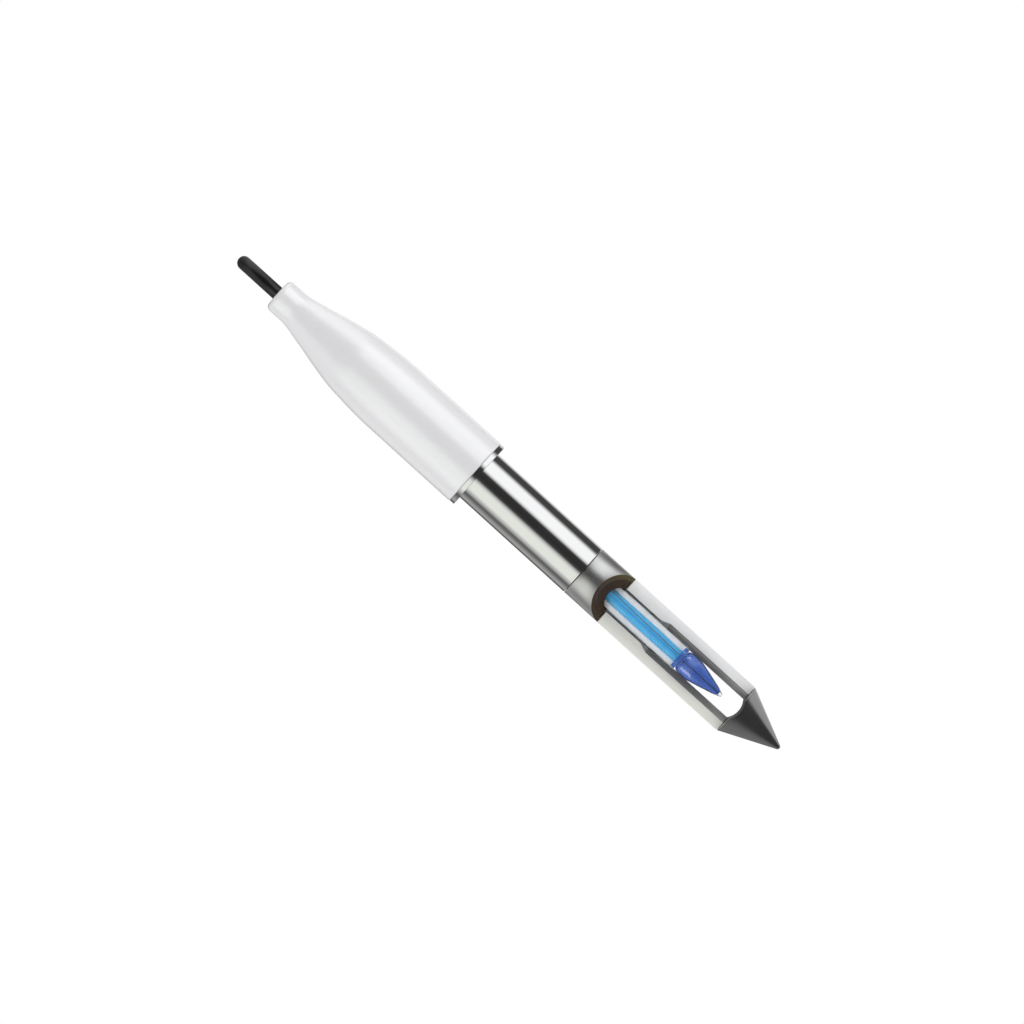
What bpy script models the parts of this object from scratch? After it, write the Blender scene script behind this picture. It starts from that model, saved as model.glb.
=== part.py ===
"""Immersion pH electrode with a steel piercing guard.

The electrode hangs tip down: its axis is world Z, the origin is on the axis at the
underside of the seat flange below the handle, and the open side of the guard faces -Y.
Sizes below are millimetres; the model itself is in metres.
"""
import math

import bmesh
import bpy
import numpy as np
from mathutils import Matrix

MM = 0.001
GAP = 0.3                    # clearance between neighbouring solids
FINE_GAP = 0.12              # clearance between pieces that touch in the real thing
MAIN_SEGMENTS = 36
SMALL_SEGMENTS = 16

# handle
GRIP_R = 8.0
NECK_R = 3.8
NECK_TOP_Z = 56.6
NECK_EDGE = 1.0
NECK_BORE_R = 2.6
GRIP_BORE_R = 6.3
SHOULDER_Z = 1.12
SHOULDER_EDGE = 0.2
FLARE = ((52.6, NECK_R), (47.2, 4.75), (41.0, 6.2), (34.7, 7.35), (24.0, GRIP_R))
CAVITY = ((50.0, NECK_BORE_R), (41.0, 4.8), (34.7, 5.9), (25.0, 6.0))
O_RING_GROOVE_R = 7.3
O_RING_GROOVE_Z = (4.0, 6.0)

# steel tube and its threaded spigot
TUBE_R = 6.0
TUBE_BORE_R = 5.0
TUBE_TOP_Z = 22.0
SEAM_Z = -29.3
SPIGOT_R = 5.2
SPIGOT_BORE_R = 4.2
SPIGOT_END_Z = -33.3
SPIGOT_GROOVE_R = 4.6
FLANGE_R = (6.12, 7.85)
FLANGE_HEIGHT = 1.0

# guard
SOCKET_R = 5.5
SEAL_BORE_R = 4.9
SEAL_SEAT_Z = -38.4
GROOVE_R = 3.2
STEP_Z = (-48.4, -50.4)
WINDOW_R = 4.0
GUARD_END_Z = -72.3
SLOPE_TOP_Z = -33.9
FLAT_TOP_Z = -38.75
FLAT_Y = -0.2
SLOT_HALF_WIDTH = 2.55
SLOT_TOP_Z = -53.0
NOTCH_R = 4.0
NOTCH_END_Z = -73.3
POINT_APEX_Z = -85.5
POINT_TIP_R = 0.6

# glass electrode
STEM_R = 2.9
STEM_BORE_R = 2.55
STEM_TOP_Z = -10.0
STEM_END_Z = -57.0
INNER_STEM_R = 1.65
INNER_STEM_BORE_R = 1.45
GEL_R = 1.33
GEL_BORE_R = 0.42
WIRE_R = 0.25
TIP_PROFILE = ((2.15, -57.15), (2.55, -58.3), (2.55, -60.6), (1.0, -66.6), (0.5, -68.0))
TIP_END_Z = -68.3
TIP_WALL = 0.3
REFERENCE_Y = 2.1

# cutters reach past the pieces they cut
CUTTER_DEPTH = 20.0
CUTTER_REACH = 10.0
CUTTER_BOTTOM_Z = -90.0
SLOT_CUTTER_Y = 11.0

# leads inside the handle
LEAD_X = 1.1
LEAD_R = 0.35
CORE_R = 0.3

# cable, hank and connector
CABLE_R = 1.5
CABLE_D = 2 * CABLE_R
CABLE_START_Z = 47.2
BEND_START_Z = 57.6
BEND_HEIGHT = 9.1
DROP_Y = 18.0
HANK_Y = 27.0
HANK_TOP_Z = 22.0
HANK_BOTTOM_Z = -43.2
HANK_OUTER_R = 16.8
HANK_INNER_R = 7.4
HANK_HALF_WIDTH = 4.75
HANK_ENTRY_Y = 7.5           # how far before the hank's middle the cable enters it
TIE_Z = (-12.6, -8.6)
TIE_WALL = 0.8
CONNECTOR_Y = 52.4
BOOT_BOTTOM_Z = -16.0


def metres(points):
    """Millimetre tuples as metre tuples."""
    return [tuple(value * MM for value in point) for point in points]


def clear_scene():
    """Remove every object, so the script gives the same model wherever it is run."""
    for item in list(bpy.data.objects):
        bpy.data.objects.remove(item, do_unlink=True)


def make_collection(name):
    """A new collection under the scene's own."""
    collection = bpy.data.collections.new(name)
    bpy.context.scene.collection.children.link(collection)
    return collection


def material(name, colour, roughness, metallic=0.0):
    """One Principled material with plain values."""
    made = bpy.data.materials.new(name)
    made.use_nodes = True
    shader = made.node_tree.nodes["Principled BSDF"]
    shader.inputs["Base Color"].default_value = (*colour, 1.0)
    shader.inputs["Roughness"].default_value = roughness
    shader.inputs["Metallic"].default_value = metallic
    made.diffuse_color = (*colour, 1.0)
    return made


def axis_empty(name, collection, place, parent=None):
    """An empty on a moving group's axis, place in millimetres."""
    empty = bpy.data.objects.new(name, None)
    empty.location = [value * MM for value in place]
    empty.parent = parent
    collection.objects.link(empty)
    return empty


def turned(name, profile, finish, collection, segments=SMALL_SEGMENTS, parent=None):
    """Turn (radius, height) points about Z; a profile off the axis is a closed ring."""
    closed = profile[0][0] > 0
    count = len(profile)
    vertices = [(radius * MM, 0.0, height * MM) for radius, height in profile]
    edges = [(index, index + 1) for index in range(count - 1)]
    if closed:
        edges.append((count - 1, 0))
    mesh = bpy.data.meshes.new(name)
    mesh.from_pydata(vertices, edges, [])
    item = bpy.data.objects.new(name, mesh)
    mesh.materials.append(finish)
    item.parent = parent
    collection.objects.link(item)
    screw = item.modifiers.new("turn", "SCREW")
    screw.axis = "Z"
    screw.angle = math.tau
    screw.steps = segments
    screw.render_steps = segments
    screw.use_merge_vertices = True
    screw.merge_threshold = 0.00001
    screw.use_smooth_shade = True
    return item


def ring(name, inner_r, outer_r, top_z, bottom_z, finish, collection, **options):
    """A plain turned ring."""
    profile = [(outer_r, top_z), (outer_r, bottom_z), (inner_r, bottom_z), (inner_r, top_z)]
    return turned(name, profile, finish, collection, **options)


def o_ring(name, centre_r, centre_z, cord_r, finish, collection, parent=None):
    """A round-section sealing ring."""
    steps = 8
    profile = []
    for index in range(steps):
        angle = math.pi / 2 - math.tau * index / steps
        profile.append((centre_r + cord_r * math.cos(angle), centre_z + cord_r * math.sin(angle)))
    return turned(name, profile, finish, collection, segments=24, parent=parent)


def eased(stations, steps):
    """Heights and radii read from a monotone cubic through (height, radius) stations."""
    heights = np.array([station[0] for station in stations])
    radii = np.array([station[1] for station in stations])
    spans = np.diff(heights)
    slopes = np.diff(radii) / spans
    tangents = np.zeros(len(stations))
    tangents[1:-1] = 2 * slopes[:-1] * slopes[1:] / (slopes[:-1] + slopes[1:])
    points = []
    for index, span in enumerate(spans):
        for step in range(steps):
            t = step / steps
            near = (1 + 2 * t) * (1 - t) ** 2 * radii[index] + t * (1 - t) ** 2 * span * tangents[index]
            far = t * t * (3 - 2 * t) * radii[index + 1] - t * t * (1 - t) * span * tangents[index + 1]
            points.append((float(near + far), float(heights[index] + t * span)))
    points.append((float(radii[-1]), float(heights[-1])))
    return points


def outline_solid(name, outlines, thickness, columns, finish, collection):
    """Extrude closed 2D outlines by a thickness; columns are the world axes of local X, Y, Z."""
    curve = bpy.data.curves.new(name, "CURVE")
    curve.dimensions = "2D"
    curve.fill_mode = "BOTH"
    curve.extrude = thickness * MM / 2
    for outline in outlines:
        spline = curve.splines.new("POLY")
        spline.points.add(len(outline) - 1)
        for point, place in zip(spline.points, metres(outline)):
            point.co = (*place, 0.0, 1.0)
        spline.use_cyclic_u = True
    flat = bpy.data.objects.new(name + "_outline", curve)
    bpy.context.scene.collection.objects.link(flat)
    flat.matrix_world = Matrix(columns).transposed().to_4x4()
    item = mesh_copy(flat, name, collection)
    if finish:
        item.data.materials.append(finish)
    return item


def mesh_copy(source, name, collection):
    """Make a curve object a closed mesh object in the same place and remove the curve."""
    bpy.context.view_layer.update()
    graph = bpy.context.evaluated_depsgraph_get()
    mesh = bpy.data.meshes.new_from_object(source.evaluated_get(graph))
    mesh.materials.clear()
    work = bmesh.new()
    work.from_mesh(mesh)
    bmesh.ops.remove_doubles(work, verts=work.verts, dist=0.000001)
    work.to_mesh(mesh)
    work.free()
    item = bpy.data.objects.new(name, mesh)
    item.matrix_world = source.matrix_world.copy()
    collection.objects.link(item)
    bpy.data.objects.remove(source, do_unlink=True)
    return item


def as_cutter(item):
    """Show a cutter as a wire and keep it out of renders."""
    item.hide_render = True
    item.display_type = "WIRE"


def cut(item, cutter):
    """Subtract a cutter from a piece."""
    boolean = item.modifiers.new("cut_" + cutter.name, "BOOLEAN")
    boolean.operation = "DIFFERENCE"
    boolean.solver = "EXACT"
    boolean.object = cutter


def rod(name, points, radius, finish, collection, parent=None):
    """A round wire or tube along millimetre points."""
    curve = bpy.data.curves.new(name, "CURVE")
    curve.dimensions = "3D"
    curve.bevel_depth = radius * MM
    curve.bevel_resolution = 2
    curve.use_fill_caps = True
    spline = curve.splines.new("POLY")
    spline.points.add(len(points) - 1)
    for point, place in zip(spline.points, metres(points)):
        point.co = (*place, 1.0)
    curve.materials.append(finish)
    item = bpy.data.objects.new(name, curve)
    item.parent = parent
    collection.objects.link(item)
    return item


def smooth_route(stations, steps):
    """Points on a Catmull-Rom curve through the stations, which it passes exactly."""
    route = np.array(stations, dtype=float)
    padded = np.vstack([2 * route[0] - route[1], route, 2 * route[-1] - route[-2]])
    points = []
    for index in range(1, len(padded) - 2):
        p0, p1, p2, p3 = padded[index - 1:index + 3]
        for step in range(steps):
            t = step / steps
            place = (2 * p1 + (p2 - p0) * t + (2 * p0 - 5 * p1 + 4 * p2 - p3) * t ** 2
                     + (3 * p1 - p0 - 3 * p2 + p3) * t ** 3) / 2
            points.append(tuple(place))
    points.append(tuple(route[-1]))
    return points


def build_handle(parts, plastic, rubber, brass):
    """The grip, its seals and what anchors the cable in its neck."""
    outer = [(NECK_R - NECK_EDGE, NECK_TOP_Z)]
    for angle in (math.pi / 6, math.pi / 3, math.pi / 2):
        outer.append((NECK_R - NECK_EDGE * (1 - math.sin(angle)),
                      NECK_TOP_Z - NECK_EDGE * (1 - math.cos(angle))))
    outer += eased(FLARE, 3)
    outer += [(GRIP_R, SHOULDER_Z + SHOULDER_EDGE), (GRIP_R - SHOULDER_EDGE, SHOULDER_Z)]
    low, high = O_RING_GROOVE_Z
    inner = [(GRIP_BORE_R, SHOULDER_Z), (GRIP_BORE_R, low), (O_RING_GROOVE_R, low),
             (O_RING_GROOVE_R, high), (GRIP_BORE_R, high), (GRIP_BORE_R, 23.6)]
    inner += eased(CAVITY, 2)[::-1]
    inner.append((NECK_BORE_R, NECK_TOP_Z))
    turned("handle_shell", outer + inner, plastic, parts, segments=MAIN_SEGMENTS)
    o_ring("handle_o_ring", 6.76, sum(O_RING_GROOVE_Z) / 2, 0.42, rubber, parts)
    ring("neck_grommet", CABLE_R + GAP, NECK_BORE_R - GAP, NECK_TOP_Z - 0.2, 50.2, rubber, parts)
    ring("strain_ferrule", CABLE_R + GAP, NECK_BORE_R - GAP, 49.8, 47.4, brass, parts)
    ring("tube_plug", 2.2, TUBE_BORE_R - GAP, TUBE_TOP_Z - 0.5, 17.0, rubber, parts)


def build_tube(parts, steel, rubber):
    """The steel tube with its flange; its lower end is the spigot the guard screws onto."""
    profile = [
        (TUBE_R, TUBE_TOP_Z), (TUBE_R, SEAM_Z), (SPIGOT_R, SEAM_Z), (SPIGOT_R, -32.0),
        (SPIGOT_GROOVE_R, -32.0), (SPIGOT_GROOVE_R, -33.0), (SPIGOT_R, -33.0),
        (SPIGOT_R, SPIGOT_END_Z), (SPIGOT_BORE_R, SPIGOT_END_Z), (SPIGOT_BORE_R, -28.0),
        (TUBE_BORE_R, -27.0), (TUBE_BORE_R, TUBE_TOP_Z)]
    turned("body_tube", profile, steel, parts, segments=MAIN_SEGMENTS)
    ring("seat_flange", *FLANGE_R, FLANGE_HEIGHT, 0.0, steel, parts, segments=MAIN_SEGMENTS)
    ring("stem_bush", STEM_R + GAP, TUBE_BORE_R - GAP, -12.0, -16.0, rubber, parts)


def build_guard(parts, cutters, steel, dark_steel, brown, rubber):
    """The cut-away guard, its point, its brown seal and its sealing ring."""
    turn = axis_empty("guard_turn_axis", parts, (0, 0, 0))
    slide = axis_empty("guard_slide_axis", parts, (0, 0, 0), parent=turn)
    profile = [
        (TUBE_R, SEAM_Z - FINE_GAP), (TUBE_R, GUARD_END_Z), (WINDOW_R, GUARD_END_Z),
        (WINDOW_R, STEP_Z[1]), (GROOVE_R, STEP_Z[0]), (GROOVE_R, SEAL_SEAT_Z),
        (SEAL_BORE_R, SEAL_SEAT_Z), (SEAL_BORE_R, SPIGOT_END_Z - 0.4),
        (SOCKET_R, SPIGOT_END_Z - 0.4), (SOCKET_R, SEAM_Z - FINE_GAP)]
    cage = turned("guard_cage", profile, steel, parts, segments=MAIN_SEGMENTS, parent=slide)
    seal = ring("stem_seal", STEM_R + GAP, SEAL_BORE_R - FINE_GAP, SPIGOT_END_Z - GAP,
                SEAL_SEAT_Z + FINE_GAP, brown, parts, segments=24, parent=slide)

    yz_plane = ((0, 1, 0), (0, 0, 1), (1, 0, 0))
    xz_plane = ((1, 0, 0), (0, 0, 1), (0, -1, 0))
    rise = (FLAT_TOP_Z - SLOPE_TOP_Z) / (FLAT_Y + TUBE_R)
    front = [(FLAT_Y, FLAT_TOP_Z), (FLAT_Y, CUTTER_BOTTOM_Z), (-CUTTER_REACH, CUTTER_BOTTOM_Z),
             (-CUTTER_REACH, SLOPE_TOP_Z - rise * (CUTTER_REACH - TUBE_R))]
    front_cut = outline_solid("front_cut", [front], CUTTER_DEPTH, yz_plane, None, cutters)
    as_cutter(front_cut)
    slot = [(-SLOT_HALF_WIDTH, SLOT_TOP_Z), (-SLOT_HALF_WIDTH, CUTTER_BOTTOM_Z),
            (SLOT_HALF_WIDTH, CUTTER_BOTTOM_Z), (SLOT_HALF_WIDTH, SLOT_TOP_Z)]
    for index in range(1, 8):
        angle = math.pi * index / 8
        slot.append((SLOT_HALF_WIDTH * math.cos(angle),
                     SLOT_TOP_Z + SLOT_HALF_WIDTH * math.sin(angle)))
    back_slot = outline_solid("back_slot", [slot], CUTTER_DEPTH, xz_plane, None, cutters)
    back_slot.location.y = SLOT_CUTTER_Y * MM
    as_cutter(back_slot)
    cut(cage, front_cut)
    cut(cage, back_slot)
    cut(seal, front_cut)

    slope = TUBE_R / (GUARD_END_Z - POINT_APEX_Z)
    half_angle = math.atan(slope)
    centre_z = POINT_APEX_Z + POINT_TIP_R / math.sin(half_angle)
    cone = [(0.0, GUARD_END_Z - GAP), (TUBE_R - GAP * slope, GUARD_END_Z - GAP)]
    for index in range(4):
        angle = half_angle + (math.pi / 2 - half_angle) * index / 3
        cone.append((POINT_TIP_R * math.cos(angle), centre_z - POINT_TIP_R * math.sin(angle)))
    cone[-1] = (0.0, centre_z - POINT_TIP_R)
    point = turned("piercing_point", cone, dark_steel, parts, segments=MAIN_SEGMENTS, parent=slide)
    circle = []
    for index in range(48):
        angle = math.tau * (index + 0.5) / 48
        circle.append((NOTCH_R * math.cos(angle), NOTCH_END_Z + NOTCH_R * (1 + math.sin(angle))))
    notch = outline_solid("point_notch", [circle], CUTTER_DEPTH, xz_plane, None, cutters)
    as_cutter(notch)
    cut(point, notch)
    o_ring("guard_o_ring", 5.03, -32.5, 0.34, rubber, parts, parent=turn)


def build_glass(parts, glass, blue, deep_blue, silver, ceramic):
    """The combination electrode: two stems, the membrane, fillings and wires."""
    ring("glass_stem", STEM_BORE_R, STEM_R, STEM_TOP_Z, STEM_END_Z, glass, parts, segments=24)
    ring("inner_stem", INNER_STEM_BORE_R, INNER_STEM_R, STEM_TOP_Z + 2, STEM_END_Z + 0.1,
         glass, parts, segments=24)
    ring("indicator_gel", GEL_BORE_R, GEL_R, -30.0, STEM_END_Z + 0.1, blue, parts)
    ring("reference_junction", INNER_STEM_R + FINE_GAP, STEM_BORE_R - FINE_GAP,
         STEM_END_Z + 1.0, STEM_END_Z + 0.1, ceramic, parts)
    inner = [(max(radius - TIP_WALL, 0.05), height + TIP_WALL * 0.4)
             for radius, height in TIP_PROFILE[1:-1]]
    inner.append((0.0, TIP_PROFILE[-2][1] - 0.2))
    shell = [*TIP_PROFILE, (0.0, TIP_END_Z), inner[-1], *inner[-2::-1],
             (TIP_PROFILE[0][0] - TIP_WALL, TIP_PROFILE[0][1])]
    turned("ph_tip", shell, glass, parts, segments=24)
    fill = [(0.0, -57.3), (1.6, -57.3), (2.05, -58.5), (2.05, -60.5), (0.5, -66.4), (0.0, -66.4)]
    turned("tip_gel", fill, deep_blue, parts)
    rod("silver_wire", [(0, 0, -9.0), (0, 0, -55.5)], WIRE_R, silver, parts)
    rod("reference_wire", [(0, REFERENCE_Y, -11.0), (0, REFERENCE_Y, -55.0)], WIRE_R, silver, parts)


def build_wiring(parts, copper, silver, red, black):
    """The two leads from the glass to the stripped end of the cable."""
    side = LEAD_X
    rod("inner_lead", [(0, 0, -7.6), (0, 0, -4.0), (side, 0, 2.0), (side, 0, 37.4)],
        LEAD_R, red, parts)
    rod("reference_lead", [(0, REFERENCE_Y, -10.6), (0, REFERENCE_Y, -5.0), (-side, 0.4, 3.0),
                           (-side, 0, 9.0), (-side, 0, 37.4)], LEAD_R, black, parts)
    for name, place_x, finish in (("core_sleeve", side, red), ("shield_sleeve", -side, black)):
        sleeve = ring(name, 0.55, 0.8, 43.0, 35.0, finish, parts)
        sleeve.location.x = place_x * MM
    rod("coax_core", [(side, 0, 37.8), (side, 0, 43.2), (0.55, 0, 46.9)], CORE_R, copper, parts)
    rod("shield_pigtail", [(-side, 0, 37.8), (-side, 0, 43.2), (-0.75, 0, 46.9)],
        LEAD_R, silver, parts)


def racetrack(radius, top_z, bottom_z, steps):
    """A closed (y, z) outline: two straight runs joined by half circles."""
    points = []
    for centre_z, start in ((top_z - HANK_OUTER_R, 0.0), (bottom_z + HANK_OUTER_R, math.pi)):
        for index in range(steps + 1):
            angle = start + math.pi * index / steps
            points.append((HANK_Y + radius * math.cos(angle), centre_z + radius * math.sin(angle)))
    return points


def cable_rise():
    """Route out of the neck and over: straight up, half an ellipse back, then straight down."""
    points = [(0, 0, CABLE_START_Z), (0, 0, 50.6), (0, 0, 54.1)]
    half_span = DROP_Y / 2
    steps = 12
    for index in range(steps + 1):
        angle = math.pi * index / steps
        points.append((0, half_span * (1 - math.cos(angle)),
                       BEND_START_Z + BEND_HEIGHT * math.sin(angle)))
    return points


def build_cable(parts, jacket, tie):
    """The free cable, the hank of its put-away length and the ties round it."""
    entry_z = HANK_TOP_Z - HANK_OUTER_R + math.sqrt(HANK_OUTER_R ** 2 - HANK_ENTRY_Y ** 2) + GAP
    drop = smooth_route([(0, DROP_Y, BEND_START_Z), (0, DROP_Y, 51.0), (0, DROP_Y, 44.0),
                         (-CABLE_R, DROP_Y, 36.0), (-CABLE_D, DROP_Y, entry_z + 2.5),
                         (-CABLE_D, DROP_Y, entry_z)], 3)
    rod("cable", cable_rise() + drop[1:], CABLE_R, jacket, parts)
    tail_y = CONNECTOR_Y
    tail = smooth_route([(0, HANK_Y + HANK_OUTER_R + 2.0, -25.6), (0, tail_y - 1.6, -21.0),
                         (0, tail_y, -16.0), (0, tail_y, -10.0), (0, tail_y, -5.2)], 3)
    rod("cable_tail", tail, CABLE_R, jacket, parts)
    outlines = [racetrack(HANK_OUTER_R, HANK_TOP_Z, HANK_BOTTOM_Z, 12),
                racetrack(HANK_INNER_R, HANK_TOP_Z, HANK_BOTTOM_Z, 12)]
    yz_plane = ((0, 1, 0), (0, 0, 1), (1, 0, 0))
    outline_solid("cable_hank", outlines, 2 * HANK_HALF_WIDTH, yz_plane, jacket, parts)
    build_ties(parts, tie)


def build_ties(parts, tie):
    """A flat tie round each of the two bundles of the hank."""
    xy_plane = ((1, 0, 0), (0, 1, 0), (0, 0, 1))
    bundle = (HANK_OUTER_R - HANK_INNER_R) / 2
    for name, side in (("tie_front", -1), ("tie_rear", 1)):
        centre_y = HANK_Y + side * (HANK_OUTER_R + HANK_INNER_R) / 2
        outlines = []
        for grow in (GAP, GAP + TIE_WALL):
            half_x = HANK_HALF_WIDTH + grow
            half_y = bundle + grow
            outlines.append([(-half_x, centre_y - half_y), (half_x, centre_y - half_y),
                             (half_x, centre_y + half_y), (-half_x, centre_y + half_y)])
        band = outline_solid(name, outlines, TIE_Z[1] - TIE_Z[0], xy_plane, tie, parts)
        band.location.z = sum(TIE_Z) / 2 * MM


def build_connector(parts, rubber, nickel, white, gold, red):
    """The coaxial bayonet plug, standing mouth up at the back of the hank."""
    base = axis_empty("connector_axis", parts, (0, CONNECTOR_Y, 0))
    nut_turn = axis_empty("nut_turn_axis", parts, (0, 0, 0), parent=base)
    nut_slide = axis_empty("nut_slide_axis", parts, (0, 0, 0), parent=nut_turn)
    boot = [(3.0, -3.0), (4.3, -3.4), (4.3, -5.0), (2.6, BOOT_BOTTOM_Z),
            (CABLE_R + GAP, BOOT_BOTTOM_Z), (CABLE_R + GAP, -3.0)]
    turned("connector_boot", boot, rubber, parts, parent=base)
    ring("crimp_ferrule", 1.8, 3.2, 3.4, -2.7, nickel, parts, parent=base)
    body = [(3.9, 19.0), (4.0, 11.6), (4.9, 11.6), (4.9, 10.4), (4.0, 10.4), (4.0, 7.6),
            (5.6, 7.6), (5.6, 3.7), (1.6, 3.7), (1.6, 6.0), (3.0, 6.0), (3.0, 19.0)]
    turned("connector_body", body, nickel, parts, segments=24, parent=base)
    ring("dielectric", 0.95, 2.6, 13.5, 6.3, white, parts, parent=base)
    pin = [(0.0, 18.0), (0.35, 17.9), (0.65, 17.2), (0.65, 4.0), (0.0, 4.0)]
    turned("contact_pin", pin, gold, parts, parent=base)
    ring("gasket", 1.6, 2.7, 14.9, 13.8, red, parts, parent=base)
    ring("spring_washer", 4.3, 5.6, 10.25, 9.95, nickel, parts, segments=24, parent=nut_turn)
    nut = [(7.0, 21.5), (7.25, 21.2), (7.25, 8.3), (7.0, 8.0), (4.35, 8.0), (4.35, 9.2),
           (6.0, 9.2), (6.0, 12.2), (5.1, 12.4), (5.1, 21.5)]
    turned("coupling_nut", nut, nickel, parts, segments=24, parent=nut_slide)


def main():
    """Build every piece in order."""
    clear_scene()
    parts = make_collection("water_quality_probe")
    cutters = make_collection("cutters")
    plastic = material("white_plastic", (0.86, 0.86, 0.87), 0.3)
    rubber = material("black_rubber", (0.03, 0.03, 0.03), 0.6)
    steel = material("polished_steel", (0.75, 0.75, 0.73), 0.12, 1.0)
    dark_steel = material("dark_steel", (0.22, 0.22, 0.22), 0.3, 1.0)
    brown = material("brown_seal", (0.10, 0.06, 0.035), 0.5)
    glass = material("clear_glass", (0.85, 0.9, 0.92), 0.05)
    blue = material("blue_gel", (0.08, 0.35, 0.75), 0.3)
    deep_blue = material("deep_blue_gel", (0.03, 0.1, 0.5), 0.3)
    silver = material("silver", (0.6, 0.6, 0.6), 0.35, 1.0)
    ceramic = material("ceramic", (0.8, 0.78, 0.72), 0.7)
    brass = material("brass", (0.7, 0.5, 0.2), 0.35, 1.0)
    copper = material("copper", (0.75, 0.4, 0.25), 0.35, 1.0)
    jacket = material("black_jacket", (0.02, 0.02, 0.02), 0.45)
    nickel = material("nickel_plate", (0.65, 0.63, 0.58), 0.25, 1.0)
    white = material("white_insulator", (0.9, 0.9, 0.88), 0.4)
    gold = material("gold_plate", (0.85, 0.62, 0.25), 0.25, 1.0)
    red = material("red_silicone", (0.5, 0.05, 0.04), 0.5)
    build_handle(parts, plastic, rubber, brass)
    build_tube(parts, steel, rubber)
    build_guard(parts, cutters, steel, dark_steel, brown, rubber)
    build_glass(parts, glass, blue, deep_blue, silver, ceramic)
    build_wiring(parts, copper, silver, red, jacket)
    build_cable(parts, jacket, jacket)
    build_connector(parts, rubber, nickel, white, gold, red)


main()
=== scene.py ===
"""Looks of an immersion pH electrode with a steel piercing guard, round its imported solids.

Sizes are millimetres in the part's own frame: the electrode's axis is Z, tip down, and the
open side of the guard faces -Y. Meshes are made in metres with their place in the vertices.
"""
import logging
import math
from collections.abc import Callable
from dataclasses import dataclass
from enum import Enum
from functools import cache

import bmesh
import bpy
import numpy as np
from mathutils import Matrix


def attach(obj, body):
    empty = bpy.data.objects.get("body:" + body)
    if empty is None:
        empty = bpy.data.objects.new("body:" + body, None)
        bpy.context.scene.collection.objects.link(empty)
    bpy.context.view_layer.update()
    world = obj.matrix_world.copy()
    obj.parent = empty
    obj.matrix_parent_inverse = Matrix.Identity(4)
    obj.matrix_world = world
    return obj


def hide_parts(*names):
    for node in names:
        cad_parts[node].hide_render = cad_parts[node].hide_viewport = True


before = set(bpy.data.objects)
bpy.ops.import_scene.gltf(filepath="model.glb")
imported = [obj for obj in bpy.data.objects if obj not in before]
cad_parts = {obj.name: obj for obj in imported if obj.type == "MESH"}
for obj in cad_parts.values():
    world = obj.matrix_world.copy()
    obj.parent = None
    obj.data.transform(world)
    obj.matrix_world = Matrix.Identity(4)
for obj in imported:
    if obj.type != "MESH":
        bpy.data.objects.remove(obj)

MM = 0.001
TURN = math.tau
LOG = logging.getLogger("probe")
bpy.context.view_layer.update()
CUT_REACH = 10.0
CUT_BOTTOM = -90.0

Array = np.ndarray
Colour = tuple[float, float, float]
Outline = tuple[tuple[float, float], ...]
Piece = bpy.types.Object
Material = bpy.types.Material
Node = bpy.types.Node
Socket = bpy.types.NodeSocket

SOCKET_KINDS = {"Vector": "Vector", "Stretch": "Vector", "Color": "Color", "Worn": "Color"}


class Relief(Enum):
    """How the fine relief of a finish runs, as the stretch of its noise along X, Y and Z."""

    MOULDED = (1.0, 1.0, 1.0)
    TURNED = (0.03, 0.03, 1.0)
    DRAWN = (1.0, 1.0, 0.02)
    EXTRUDED = (0.06, 1.0, 1.0)


class Lamp(Enum):
    """The soft lights: place in metres, side in metres and power in watts."""

    KEY = ((0.86, -0.36, 0.30), 0.5, 3.6)
    FILL = ((-0.88, -0.30, -0.05), 0.5, 2.6)
    TOP = ((0.10, -0.10, 0.90), 0.6, 0.15)


# ---------------------------------------------------------------- node trees


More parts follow.
